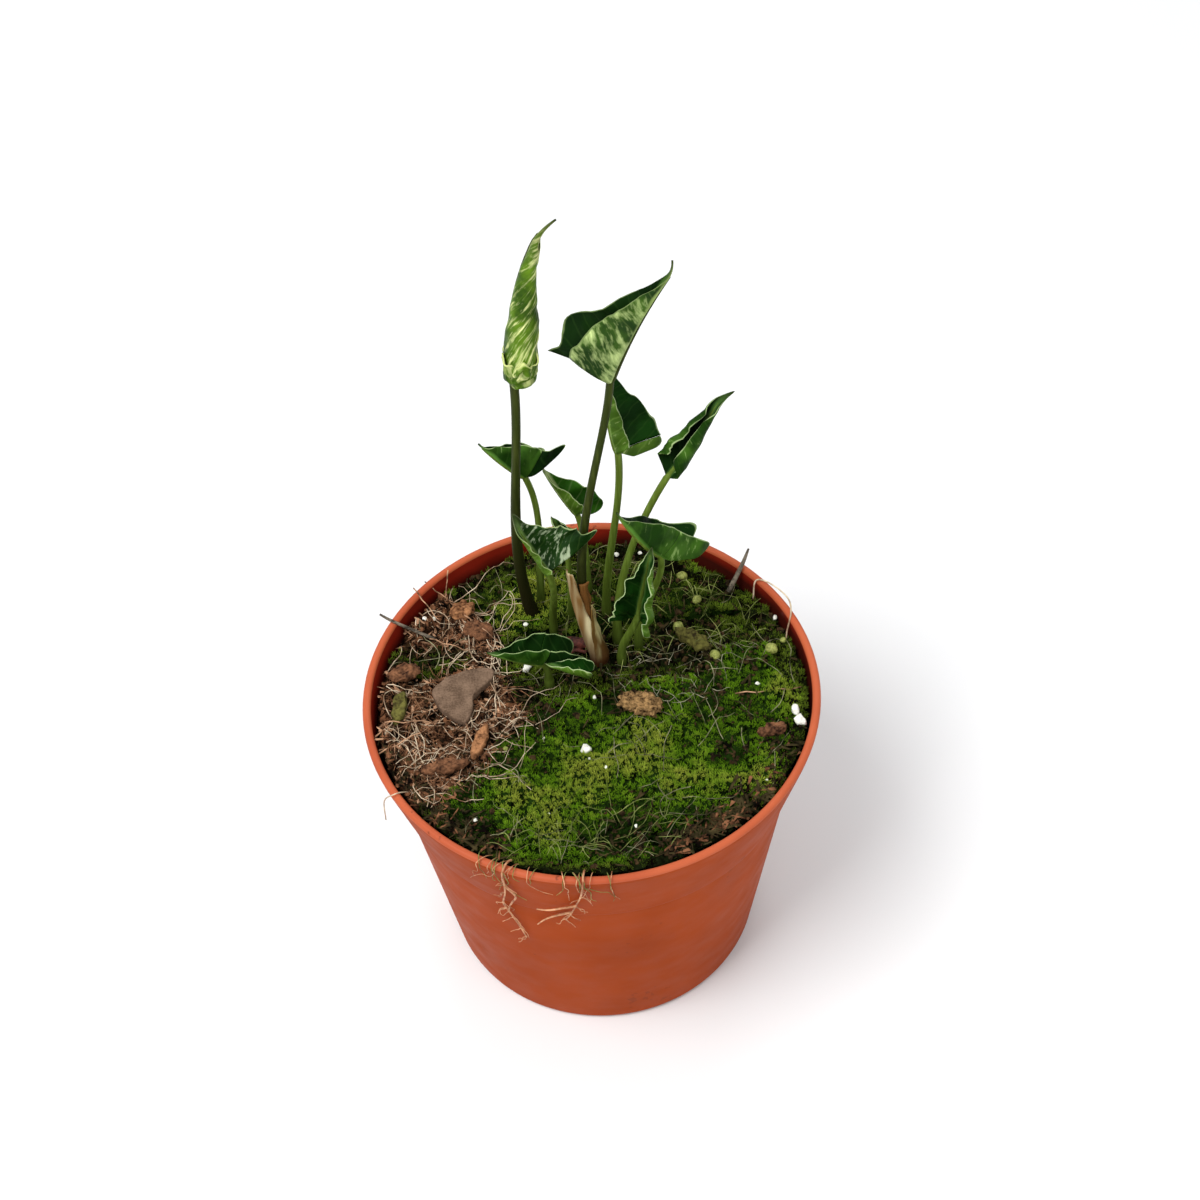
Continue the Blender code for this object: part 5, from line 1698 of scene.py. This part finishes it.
    def route(self) -> Run:
        """Points and radii of the stalk, from inside the soil up to the blade, and of the midrib under it.

        Returns:
            The points and radii in order.
        """
        form = self.form
        foot = Vector((*form.foot, GROUND.soil(*form.foot) + STALK_RISE))
        height = (self.base - foot).length
        straight = (self.base - foot).normalized()
        low = foot + Vector((*form.bulge, height * 0.35))
        high = self.base - (self.frame(0.0)[1] * 0.6 + straight * 0.8) * height * 0.22 + Vector((*form.neck, 0.0))
        run = [(foot - Vector((0, 0, STALK_RISE + HOLE_DEPTH - 0.6)), form.stalk[0])]
        for i in range(STALK_STEPS + 1):
            t = i / STALK_STEPS
            point = foot * (1 - t) ** 3 + low * 3 * (1 - t) ** 2 * t + high * 3 * (1 - t) * t**2 + self.base * t**3
            swell = 1.0 + 0.16 * max(0.0, 1 - t * 9)
            run.append((point, (form.stalk[0] + (form.stalk[1] - form.stalk[0]) * min(1.0, t * 1.6)) * swell))
        for i in range(1, STALK_STEPS // 2):
            share = 0.94 * i / (STALK_STEPS // 2)
            point, _, up, _ = self.frame(share)
            radius = form.stalk[1] * 0.8 * (1 - share) + MIDRIB_END * share
            run.append((point - up * (BLADE * 0.5 + radius * 0.25), radius))
        return run

    def build(self) -> None:
        """Make the blade and the stalk with its midrib."""
        self.blade(self.form.name)
        threads(self.form.name + "_stalk", [self.route()], 14, self.form.skin, self.form.name)


def lumpy(name: str, place: Place, size: Place, turn: float, rough: Place, finish: Finish, node: str | None,
          detail: int = 4) -> None:
    """Make an uneven pebble lying on the ground.

    Args:
        name: The piece's name.
        place: Its middle, with the height of its underside above the ground as the third value.
        size: Its length, width and thickness.
        turn: Its turn about the vertical, in degrees.
        rough: Depth of its bumps in millimetres, their size, and how far its top and bottom are flattened.
        finish: Its surface.
        node: The solid that it stands for, if any.
        detail: How finely it is divided.
    """
    bm = bmesh.new()
    bmesh.ops.create_icosphere(bm, subdivisions=detail, radius=0.5)
    depth, grain, flat = rough
    x, y, lift = place
    for vert in bm.verts:
        high = math.copysign(min(abs(vert.co.z), flat) / flat, vert.co.z) / 2
        outwards = vert.co.normalized()
        spot = Vector((vert.co.x * size[0], vert.co.y * size[1], high * size[2]))
        bumps = noise.noise(spot / grain + Vector((x, y, 0.0))) + 0.5 * noise.noise(spot * 2.3 / grain)
        vert.co = spot + outwards * depth * bumps
    bmesh.ops.rotate(bm, verts=bm.verts, cent=(0, 0, 0), matrix=Matrix.Rotation(math.radians(turn), 3, "Z"))
    under = max(GROUND.top(x + vert.co.x, y + vert.co.y) for vert in bm.verts if vert.co.z < 0)
    bmesh.ops.translate(bm, verts=bm.verts, vec=(x, y, under + size[2] / 2 + lift))
    finished(name, bm, [finish.material()], node)


@dataclass(frozen=True)
class Chip:
    """One chip of bark: name, place, size, turn in degrees, surface, slot, and depth and size of its bumps."""

    name: str
    place: Pair
    size: Place
    turn: float
    finish: Finish
    slot: str
    rough: Place = (0.5, 1.6, 0.34)

    def build(self) -> None:
        """Lay the chip on the ground."""
        lumpy(self.name + "_rough", (*self.place, -0.5), self.size, self.turn, self.rough, self.finish, self.name)


CHIPS = (
    Chip("chip_back_tan", (-33.6, 34.0), (7.0, 5.8, 3.0), 20, BARK_TAN, "bark_pale", (1.4, 1.9, 0.4)),
    Chip("chip_back_brown", (-29.4, 26.6), (9.0, 6.0, 2.4), -30, BARK, "bark", (1.1, 2.2, 0.34)),
    Chip("chip_left_rim", (-49.4, 12.2), (9.0, 5.4, 2.6), 15, BARK, "bark", (1.0, 1.7, 0.4)),
    Chip("chip_left_low", (-50.6, 0.6), (10.5, 3.8, 2.4), 80, BARK_MOSSY, "bark", (0.6, 2.2, 0.3)),
    Chip("chip_front_upright", (-29.6, -12.2), (11.0, 3.4, 2.8), 72, BARK_TAN, "bark_pale", (0.5, 1.8, 0.3)),
    Chip("chip_front_flat", (-38.8, -19.6), (13.0, 4.0, 2.4), 8, BARK, "bark_pale", (0.7, 1.8, 0.3)),
    Chip("chip_cluster", (12.7, -5.2), (12.0, 6.6, 3.6), -18, BARK_PALE, "bark_pale", (1.7, 1.25, 0.45)),
    Chip("chip_mossy", (28.4, 19.0), (12.0, 4.6, 2.6), -42, BARK_MOSSY, "bark", (1.2, 1.4, 0.4)),
    Chip("chip_right_rim", (46.0, -15.8), (8.0, 3.2, 2.2), 12, BARK, "bark_pale", (0.8, 1.6, 0.3)),
)


@dataclass
class Grains:
    """White perlite and yellow-green prills on the soil: places and widths."""

    perlite: tuple = ((-2.4, -17.7, 2.9), (-16.7, 13.4, 2.8), (0.8, 0.1, 1.2), (52.6, -9.5, 3.0), (53.4, -13.6, 3.4),
                      (43.8, 1.2, 1.3), (51.0, 24.2, 1.5), (-1.6, -21.3, 0.8), (-44.0, 31.0, 1.4),
                      (-41.5, 31.8, 1.3), (-16.5, 27.5, 1.4), (-46.0, 16.0, 1.0), (2.5, -25.0, 0.9),
                      (9.0, -43.0, 1.0), (43.0, -31.0, 0.7), (-31.0, -38.0, 1.2), (-13.0, -12.0, 0.8),
                      (-12.5, -38.0, 0.7), (9.5, 51.5, 1.4), (16.0, 51.0, 1.2))
    prills: tuple = ((27.1, 42.6, 3.0), (30.5, 33.1, 2.8), (33.6, 11.7, 3.2), (48.6, 11.5, 3.4), (52.2, 15.3, 1.8),
                     (24.7, 24.7, 3.4), (-23.0, -15.0, 1.4))

    def build(self) -> None:
        """Lay all the grains."""
        for i, (x, y, size) in enumerate(self.perlite):
            lumpy(f"perlite_{i:02d}", (x, y, -0.25 * size), (size, size * 0.8, size * 0.75), 37 * i,
                  (0.28 * size, 0.45 * size, 0.5), PERLITE, None, 2)
        for i, (x, y, size) in enumerate(self.prills):
            lumpy(f"prill_{i:02d}", (x, y, -0.3 * size), (size, size * 0.88, size * 0.8), 53 * i,
                  (0.08 * size, 0.4 * size, 0.5), PRILL, None, 3)


@dataclass
class StoneFlake:
    """The kidney shaped flake of stone: a rounded outline, extruded, with worn edges."""

    thick: float = 2.4
    worn: float = 0.5
    per_corner: int = 6
    outline: tuple = ((-41.9, 5.9), (-38.4, 9.9), (-33.8, 11.9), (-29.0, 12.8), (-25.4, 12.0), (-26.2, 8.4),
                      (-29.4, 5.4), (-31.2, 2.6), (-31.4, -1.6), (-33.3, -5.0), (-36.6, -3.2), (-40.2, 0.4))

    def rounded(self) -> list[Vector]:
        """Points on a smooth closed curve through the outline.

        Returns:
            The points in order.
        """
        corners = [Vector((x, y, 0.0)) for x, y in self.outline]
        spans = zip(corners, *(corners[k:] + corners[:k] for k in (1, 2, 3)))
        return [point for span in spans for point in curve_span(*span, self.per_corner)]

    def build(self) -> None:
        """Extrude the outline, round its edges and give the faces a little unevenness."""
        bm = bmesh.new()
        rim = [bm.verts.new(point) for point in self.rounded()]
        bm.faces.new(rim)
        top = bmesh.ops.extrude_face_region(bm, geom=bm.faces[:])["geom"]
        bmesh.ops.translate(bm, verts=verts_of(top), vec=(0, 0, self.thick))
        bmesh.ops.recalc_face_normals(bm, faces=bm.faces)
        edges = [edge for edge in bm.edges if edge.calc_face_angle(0.0) > 1.0]
        bmesh.ops.bevel(bm, geom=edges, offset=self.worn, segments=3, profile=0.5, material=-1, affect="EDGES")
        lying = max(GROUND.soil(x, y) for x, y in self.outline) + CLEAR
        for vert in bm.verts:
            spot = vert.co / 3.0
            vert.co += Vector((0.35 * noise.noise(spot), 0.35 * noise.noise(spot + Vector((9, 0, 0))), lying))
        finished("stone_flake_worn", bm, [STONE.material()], "stone_flake", 50.0)


@dataclass(frozen=True)
class SheathWrap:
    """One strip of the sheath round the tall leaf's stalk: where it faces, how far round and how high it goes."""

    name: str
    finish: Finish
    facing: float
    half_turn: Pair
    reach: Pair
    lean: float
    gap: float
    narrowing: float = 1.4
    rows: int = 44
    columns: int = 26
    wall: float = 0.35

    def place(self, route: Run, share: float, round_share: float) -> Vector:
        """Point at a share of the height and of the way round.

        Args:
            route: Points and radii of the stalk.
            share: Share of the height.
            round_share: Share of the way round.

        Returns:
            The point.
        """
        height = self.reach[0] + (self.reach[1] - self.reach[0]) * share
        k = next(n for n in range(1, len(route)) if route[n][0].z >= height)
        (low, low_radius), (high, high_radius) = route[k - 1], route[k]
        part = (height - low.z) / (high.z - low.z)
        centre = low.lerp(high, part)
        half = self.half_turn[0] + (self.half_turn[1] - self.half_turn[0]) * share**self.narrowing
        angle = math.radians(self.facing + half * (2 * round_share - 1))
        uneven = 0.35 * noise.noise(Vector((round_share * 5, height / 9, self.facing)))
        edge = abs(2 * round_share - 1) ** 4 * 0.4 * math.sin(height * 0.9 + self.facing)
        radius = low_radius + (high_radius - low_radius) * part + self.gap + self.wall + (uneven + edge) * share
        facing = math.radians(self.facing)
        lean = self.lean * share**2
        return Vector((centre.x + radius * math.cos(angle) + lean * math.cos(facing),
                       centre.y + radius * math.sin(angle) + lean * math.sin(facing), height))

    def build(self, route: Run) -> None:
        """Bend a grid round the stalk and thicken it inwards.

        Args:
            route: Points and radii of the stalk.
        """
        bm = bmesh.new()
        bmesh.ops.create_grid(bm, x_segments=self.rows, y_segments=self.columns, size=0.5)
        for vert in bm.verts:
            vert.co = self.place(route, vert.co.x + 0.5, vert.co.y + 0.5)
        bmesh.ops.recalc_face_normals(bm, faces=bm.faces)
        facing = Vector((math.cos(math.radians(self.facing)), math.sin(math.radians(self.facing)), 0))
        if sum(face.normal.dot(facing) for face in bm.faces) < 0:
            bmesh.ops.reverse_faces(bm, faces=bm.faces)
        thickened(finished(self.name, bm, [self.finish.material()], "dry_sheath"), self.wall)


SHEATHS = (
    SheathWrap("sheath_outer", SHEATH_TAN, 215, (125, 48), (88.5, 121.5), 2.6, 0.55, narrowing=1.5),
    SheathWrap("sheath_inner", SHEATH_BROWN, 285, (100, 45), (88.0, 117.0), 0.5, 0.15),
    SheathWrap("sheath_front", SHEATH_GREEN, 320, (70, 5), (88.2, 109.5), 0.5, 0.7),
)


@dataclass
class RimRoots:
    """Roots that hang over the front of the rim, with fine side roots, and the loops over its sides.

    A run is a list of (degrees round the rim, height, distance off the wall).
    """

    radius: float = 0.32
    end: float = 0.17
    gap: float = 0.45
    left: tuple = (
        ((-113.5, 91.2, -4.4), (-113.6, 93.2, -3.4), (-113.8, 94.5, -1.2), (-113.9, 93.4, 0.3),
         (-114.6, 86.0, 0.3), (-115.6, 79.0, 0.3), (-117.6, 71.0, 0.5), (-117.9, 65.5, 0.4), (-116.6, 60.5, 0.3),
         (-115.2, 54.9, 0.3), (-114.2, 49.9, 0.3)),
        ((-114.7, 85.0, 0.4), (-112.6, 79.6, 0.5), (-114.6, 73.5, 0.5), (-116.8, 67.2, 0.5), (-117.4, 63.9, 0.5)),
    )
    right: tuple = (
        ((-94.6, 91.2, -4.4), (-94.6, 93.2, -3.4), (-94.7, 94.5, -1.2), (-94.8, 93.4, 0.3), (-95.7, 85.5, 0.3),
         (-97.4, 78.5, 0.3), (-99.2, 72.0, 0.4), (-101.0, 66.8, 0.3)),
        ((-97.2, 79.0, 0.4), (-100.4, 77.0, 0.4), (-104.6, 74.2, 0.5), (-107.8, 73.6, 0.6)),
        ((-98.6, 74.2, 0.4), (-103.0, 69.2, 0.5), (-106.6, 65.4, 0.4), (-109.4, 60.8, 0.3)),
    )
    loops: tuple = (
        (0.22, ((45.7, 31.2, 89.5), (46.6, 33.6, 94.0), (50.0, 30.6, 96.0), (54.2, 25.6, 95.6), (54.8, 21.4, 94.4),
                (53.4, 17.6, 90.5), (53.0, 15.0, 87.8))),
        (0.16, ((-46.0, -26.0, 88.4), (-49.0, -28.5, 92.6), (-51.4, -30.4, 94.4), (-53.8, -31.6, 93.6),
         (-54.0, -33.4, 88.0))),
    )
    fine_angles: tuple = (-120.5, -117.8, -115.2, -114.4, -112.3, -107.0, -99.6, -96.3, -95.1, -93.8, -89.0)

    def on_wall(self, angle: float, height: float, off: float, radius: float) -> Vector:
        """Point at an angle and height, that far off the pot's wall.

        Args:
            angle: Degrees round the rim.
            height: Height of the point.
            off: Distance off the wall, negative inside the pot.
            radius: The root's radius.

        Returns:
            The point.
        """
        out = GROUND.wall_radius(min(height, RIM_HEIGHT)) + off
        if off > 0:
            out += radius + self.gap
        turn = math.radians(angle)
        return Vector((out * math.cos(turn), out * math.sin(turn), height))

    def run(self, stations: tuple, radius: float, end: float) -> Run:
        """A smooth thread through stations on the wall.

        Args:
            stations: Angle, height and distance of each.
            radius: Radius at its start.
            end: Radius at its end.

        Returns:
            Its points and radii.
        """
        points = smooth([self.on_wall(*station, radius) for station in stations], 5)
        last = len(points) - 1
        return [(point, radius + (end - radius) * i / last) for i, point in enumerate(points)]

    def fine(self, draw: random.Random) -> list[Run]:
        """Hair roots that come over the rim and spread on the wall.

        Args:
            draw: Source of the random differences.

        Returns:
            Their points and radii.
        """
        found = []
        for start in self.fine_angles:
            angle = start + draw.uniform(-1.2, 1.2)
            lean = draw.uniform(-1.5, 1.5)
            stations = [(angle - 2 * lean, 91.0, -4.4), (angle - lean, 94.0, -1.8), (angle, 93.9, 0.1)]
            height, drift = 91.5, lean
            for _ in range(draw.randint(2, 6)):
                stations.append((angle, height, 0.1 + draw.uniform(0, 0.5)))
                drift += draw.uniform(-1.1, 1.1)
                angle += drift
                height -= draw.uniform(0.8, 4.0)
            found.append(self.run(tuple(stations), 0.13, 0.07))
        return found

    def side_hairs(self, draw: random.Random, runs: tuple) -> list[Run]:
        """Short hairs that leave the roots sideways.

        Args:
            draw: Source of the random differences.
            runs: Stations of the roots.

        Returns:
            Their points and radii.
        """
        found = []
        for stations in runs:
            for angle, height, off in stations[4:]:
                for _ in range(2):
                    way = draw.choice((-1, 1))
                    reach = [(angle + way * k * draw.uniform(0.7, 1.3), height - k * draw.uniform(0.4, 1.6),
                              off + 0.3 * k) for k in range(4)]
                    found.append(self.run(tuple(reach), 0.14, 0.07))
        return found

    def build(self) -> None:
        """Make the roots."""
        draw = random.Random(SEED + 2)
        for name, node, runs in (("roots_left_fine", "roots_front_left", self.left),
                                 ("roots_right_fine", "roots_front_right", self.right)):
            hang = [self.run(run, self.radius, self.end) for run in runs]
            threads(name, [*hang, *self.side_hairs(draw, runs)], 8, ROOT_OVER, node)
        threads("hair_roots_over_rim", self.fine(draw), 4, ROOT_OVER)
        threads("strands_over_rim", self.fine(draw), 4, STRAND)
        loops = [[(point, radius) for point in smooth([Vector(place) for place in loop], 6)]
                 for radius, loop in self.loops]
        threads("root_loops", loops, 8, ROOT_PALE)


@dataclass
class DryBits:
    """The old stem between the stalks and the two twigs."""

    stem: tuple = ((-8.0, 21.2, 0.8), (-7.0, 20.8, 1.1), (-4.0, 19.6, 1.7), (-1.2, 18.6, 1.5), (0.2, 17.6, 0.8))
    flakes: tuple = (((-9.5, 18.6), (-5.0, 18.0), (-0.5, 15.8)), ((-7.5, 23.0), (-3.5, 21.6), (0.5, 20.6)),
                     ((-5.5, 16.6), (-3.0, 17.4), (-0.2, 18.8)))
    twigs: tuple = (
        ("twig_right", ((39.4, 35.4, None, 0.7), (43.2, 38.6, 94.85, 0.6), (45.2, 40.5, 99.4, 0.3))),
        ("twig_left", ((-41.1, 25.4, None, 0.45), (-51.6, 26.7, 94.45, 0.5), (-55.2, 27.2, 97.4, 0.3))),
    )

    def build(self) -> None:
        """Make the stem with its peeling skin, and the twigs."""
        points = smooth([Vector((x, y, GROUND.soil(x, y) + radius + 0.7)) for x, y, radius in self.stem], 6)
        last = len(points) - 1
        body = [(point, 0.75 + 0.9 * math.sin(math.pi * min(0.95, i / last + 0.05))) for i, point in enumerate(points)]
        peels = []
        for flake in self.flakes:
            line = smooth([Vector((x, y, GROUND.soil(x, y) + 1.6)) for x, y in flake], 5)
            peels.append([(point, 0.5) for point in line])
        threads("old_stem_bark", [body, *peels], 10, OLD_STEM_BARK, "old_stem")
        for name, run in self.twigs:
            line = [Vector((x, y, z or GROUND.top(x, y) + radius)) for x, y, z, radius in run]
            points = smooth(line, 5)
            last = len(points) - 1
            thick, thin = run[0][3], run[-1][3]
            twig = [(point, thick + (thin - thick) * (i / last) ** 2) for i, point in enumerate(points)]
            threads(name + "_dry", [twig], 8, TWIG, name)


@dataclass
class RuffledCollar:
    """The crumpled foot of the rolled leaf: a flared, ruffled band round the top of its stalk."""

    columns: int = 72
    rows: int = 18
    profile: tuple = ((-1.2, 2.0), (0.2, 3.3), (2.0, 3.9), (4.2, 4.0), (6.4, 4.1), (9.0, 4.4))
    ruffle: float = 1.2
    wall: float = 0.4

    def place(self, share: float, turn: float) -> Vector:
        """Point at a share of the height and an angle in radians; the folds are deepest on the open side.

        Args:
            share: The share of the height.
            turn: The angle.

        Returns:
            The point.
        """
        centre = Vector(LEAVES[0].base) + Vector((2.2, -4.5, 0.0))
        height = self.profile[0][0] + (self.profile[-1][0] - self.profile[0][0]) * share
        radius = between(self.profile, height)
        facing = abs(math.sin(turn))
        wave = math.sin(5 * turn + 2.5 * share) + 0.6 * math.sin(9 * turn - 3 * share + 1.0)
        spot = Vector((math.cos(turn) * 2.2, math.sin(turn) * 2.2, height / 2.6))
        ridge = 0.45 * math.sin(1.9 * height + 2.0 * math.sin(2 * turn)) * min(1.0, share * 4)
        radius += facing * (self.ruffle * share * wave * 0.6 + ridge) + 0.5 * share * noise.noise(spot)
        height += share * (1.3 * math.sin(4 * turn + 0.7) + 1.4 * math.sin(turn))
        height += 1.2 * share * noise.noise(spot + Vector((5, 0, 0)))
        return centre + Vector((radius * math.cos(turn), radius * math.sin(turn) * 0.95, height))

    def build(self) -> None:
        """Bend a grid into the band, join its seam and thicken it."""
        bm = bmesh.new()
        flat = bm.verts.layers.float_vector.new("blade")
        bmesh.ops.create_grid(bm, x_segments=self.columns, y_segments=self.rows, size=0.5)
        for vert in bm.verts:
            share, turn = vert.co.y + 0.5, (vert.co.x + 0.5) * 2 * math.pi
            vert[flat] = (3.0 + 2.0 * math.sin(turn), 8.0 * share + 3 * turn, 0.6 + 0.4 * share)
            vert.co = self.place(share, turn)
        closed_by(bm, 1e-3)
        skins = LOOKS[LeafLook.YOUNG].materials()[::-1]
        collar = finished("leaf_01_ruffled_foot", bm, skins, "leaf_01_rolled")
        thickened(collar, self.wall, material_offset=1)


FRONT_LOBE = LeafForm(
    "leaf_11_front_lobe", foot=(0.0, 0.0), base=(-1.6, 0.9, 98.8), tip=(-11.8, 3.9, 101.2), face=(0.0, 0.1, 1.0),
    half=(4.4, 4.8), fold=(52, 62), curl=(85, 95), lobe=(0.22, 0.22), spread=(0.8, 0.8), wave=0.25,
    look=LeafLook.STRIPED)


@dataclass(frozen=True)
class Stage:
    """The pale floor, the soft lights and the camera. A light is its name, place, power and size."""

    lens: float = 66.0
    eye: Place = (0.0, -0.358455, 0.544697)
    aim: Place = (0.00671068, 0.6530681, -0.75726945)
    right: Place = (0.99790487, -0.05310551, -0.03695501)
    lights: tuple = (("key", (-0.45, -0.35, 1.1), 12.0, 0.55), ("fill", (0.6, -0.8, 0.7), 3.0, 0.9),
                     ("back", (0.1, 0.9, 0.8), 3.0, 0.7))
    pale: float = 0.82
    floor_drop: float = 0.0002

    def camera(self) -> None:
        """Stand the camera where the photograph was taken from: above the front, looking down at the pot."""
        data = bpy.data.cameras.new("camera")
        data.lens = self.lens
        data.sensor_width = 36.0
        camera = placed("camera", data)
        forward = Vector(self.aim).normalized()
        right = (Vector(self.right) - forward * forward.dot(Vector(self.right))).normalized()
        up = right.cross(forward)
        camera.matrix_world = Matrix.Translation(self.eye) @ Matrix((right, up, -forward)).transposed().to_4x4()
        bpy.context.scene.camera = camera

    def light(self, name: str, place: Place, power: float, size: float) -> None:
        """Hang one square soft light aimed at the middle of the plant.

        Args:
            name: Its name.
            place: Where it hangs, in metres.
            power: Its power in watts.
            size: The length of its side in metres.
        """
        data = bpy.data.lights.new(name, "AREA")
        data.energy = power
        data.size = size
        lamp = placed(name, data)
        lamp.location = place
        lamp.rotation_euler = (Vector((0, 0, 0.1)) - Vector(place)).to_track_quat("-Z", "Y").to_euler()

    def build(self) -> None:
        """Lay the floor, hang the lights and brighten the surroundings."""
        self.camera()
        bm = bmesh.new()
        bmesh.ops.create_grid(bm, x_segments=1, y_segments=1, size=3.0)
        floor = placed("floor", meshed("floor", bm))
        floor.location.z = -self.floor_drop
        paint = bpy.data.materials.new("matt_white_floor")
        paint.use_nodes = True
        shader = paint.node_tree.nodes["Principled BSDF"].inputs
        shader["Base Color"].default_value = (self.pale, self.pale, self.pale, 1.0)
        shader["Roughness"].default_value = 0.9
        floor.data.materials.append(paint)
        for lamp in self.lights:
            self.light(*lamp)
        world = bpy.data.worlds.new("white_room")
        world.use_nodes = True
        air = world.node_tree.nodes["Background"].inputs
        air["Color"].default_value = (0.95, 0.98, 1.0, 1.0)
        air["Strength"].default_value = 0.6
        bpy.context.scene.world = world
        bpy.context.scene.view_settings.view_transform = "Standard"


def main() -> None:
    """Build everything in order."""
    logging.basicConfig(level=logging.INFO, format="%(message)s")
    Stage().build()
    NurseryPot().build()
    LOG.info("pot")
    RootBall().build()
    MossCover().build()
    LOG.info("soil and moss")
    PeatLitter().build()
    LOG.info("litter")
    StoneFlake().build()
    for chip in CHIPS:
        chip.build()
    Grains().build()
    LOG.info("stone, chips and grains")
    RimRoots().build()
    DryBits().build()
    LOG.info("roots and twigs")
    for form in LEAVES:
        Leaf(form).build()
    Leaf(FRONT_LOBE).blade("leaf_11_front")
    RuffledCollar().build()
    tall = Leaf(LEAVES[1]).route()
    for wrap in SHEATHS:
        wrap.build(tall)
    LOG.info("leaves")


if __name__ == "__main__":
    main()
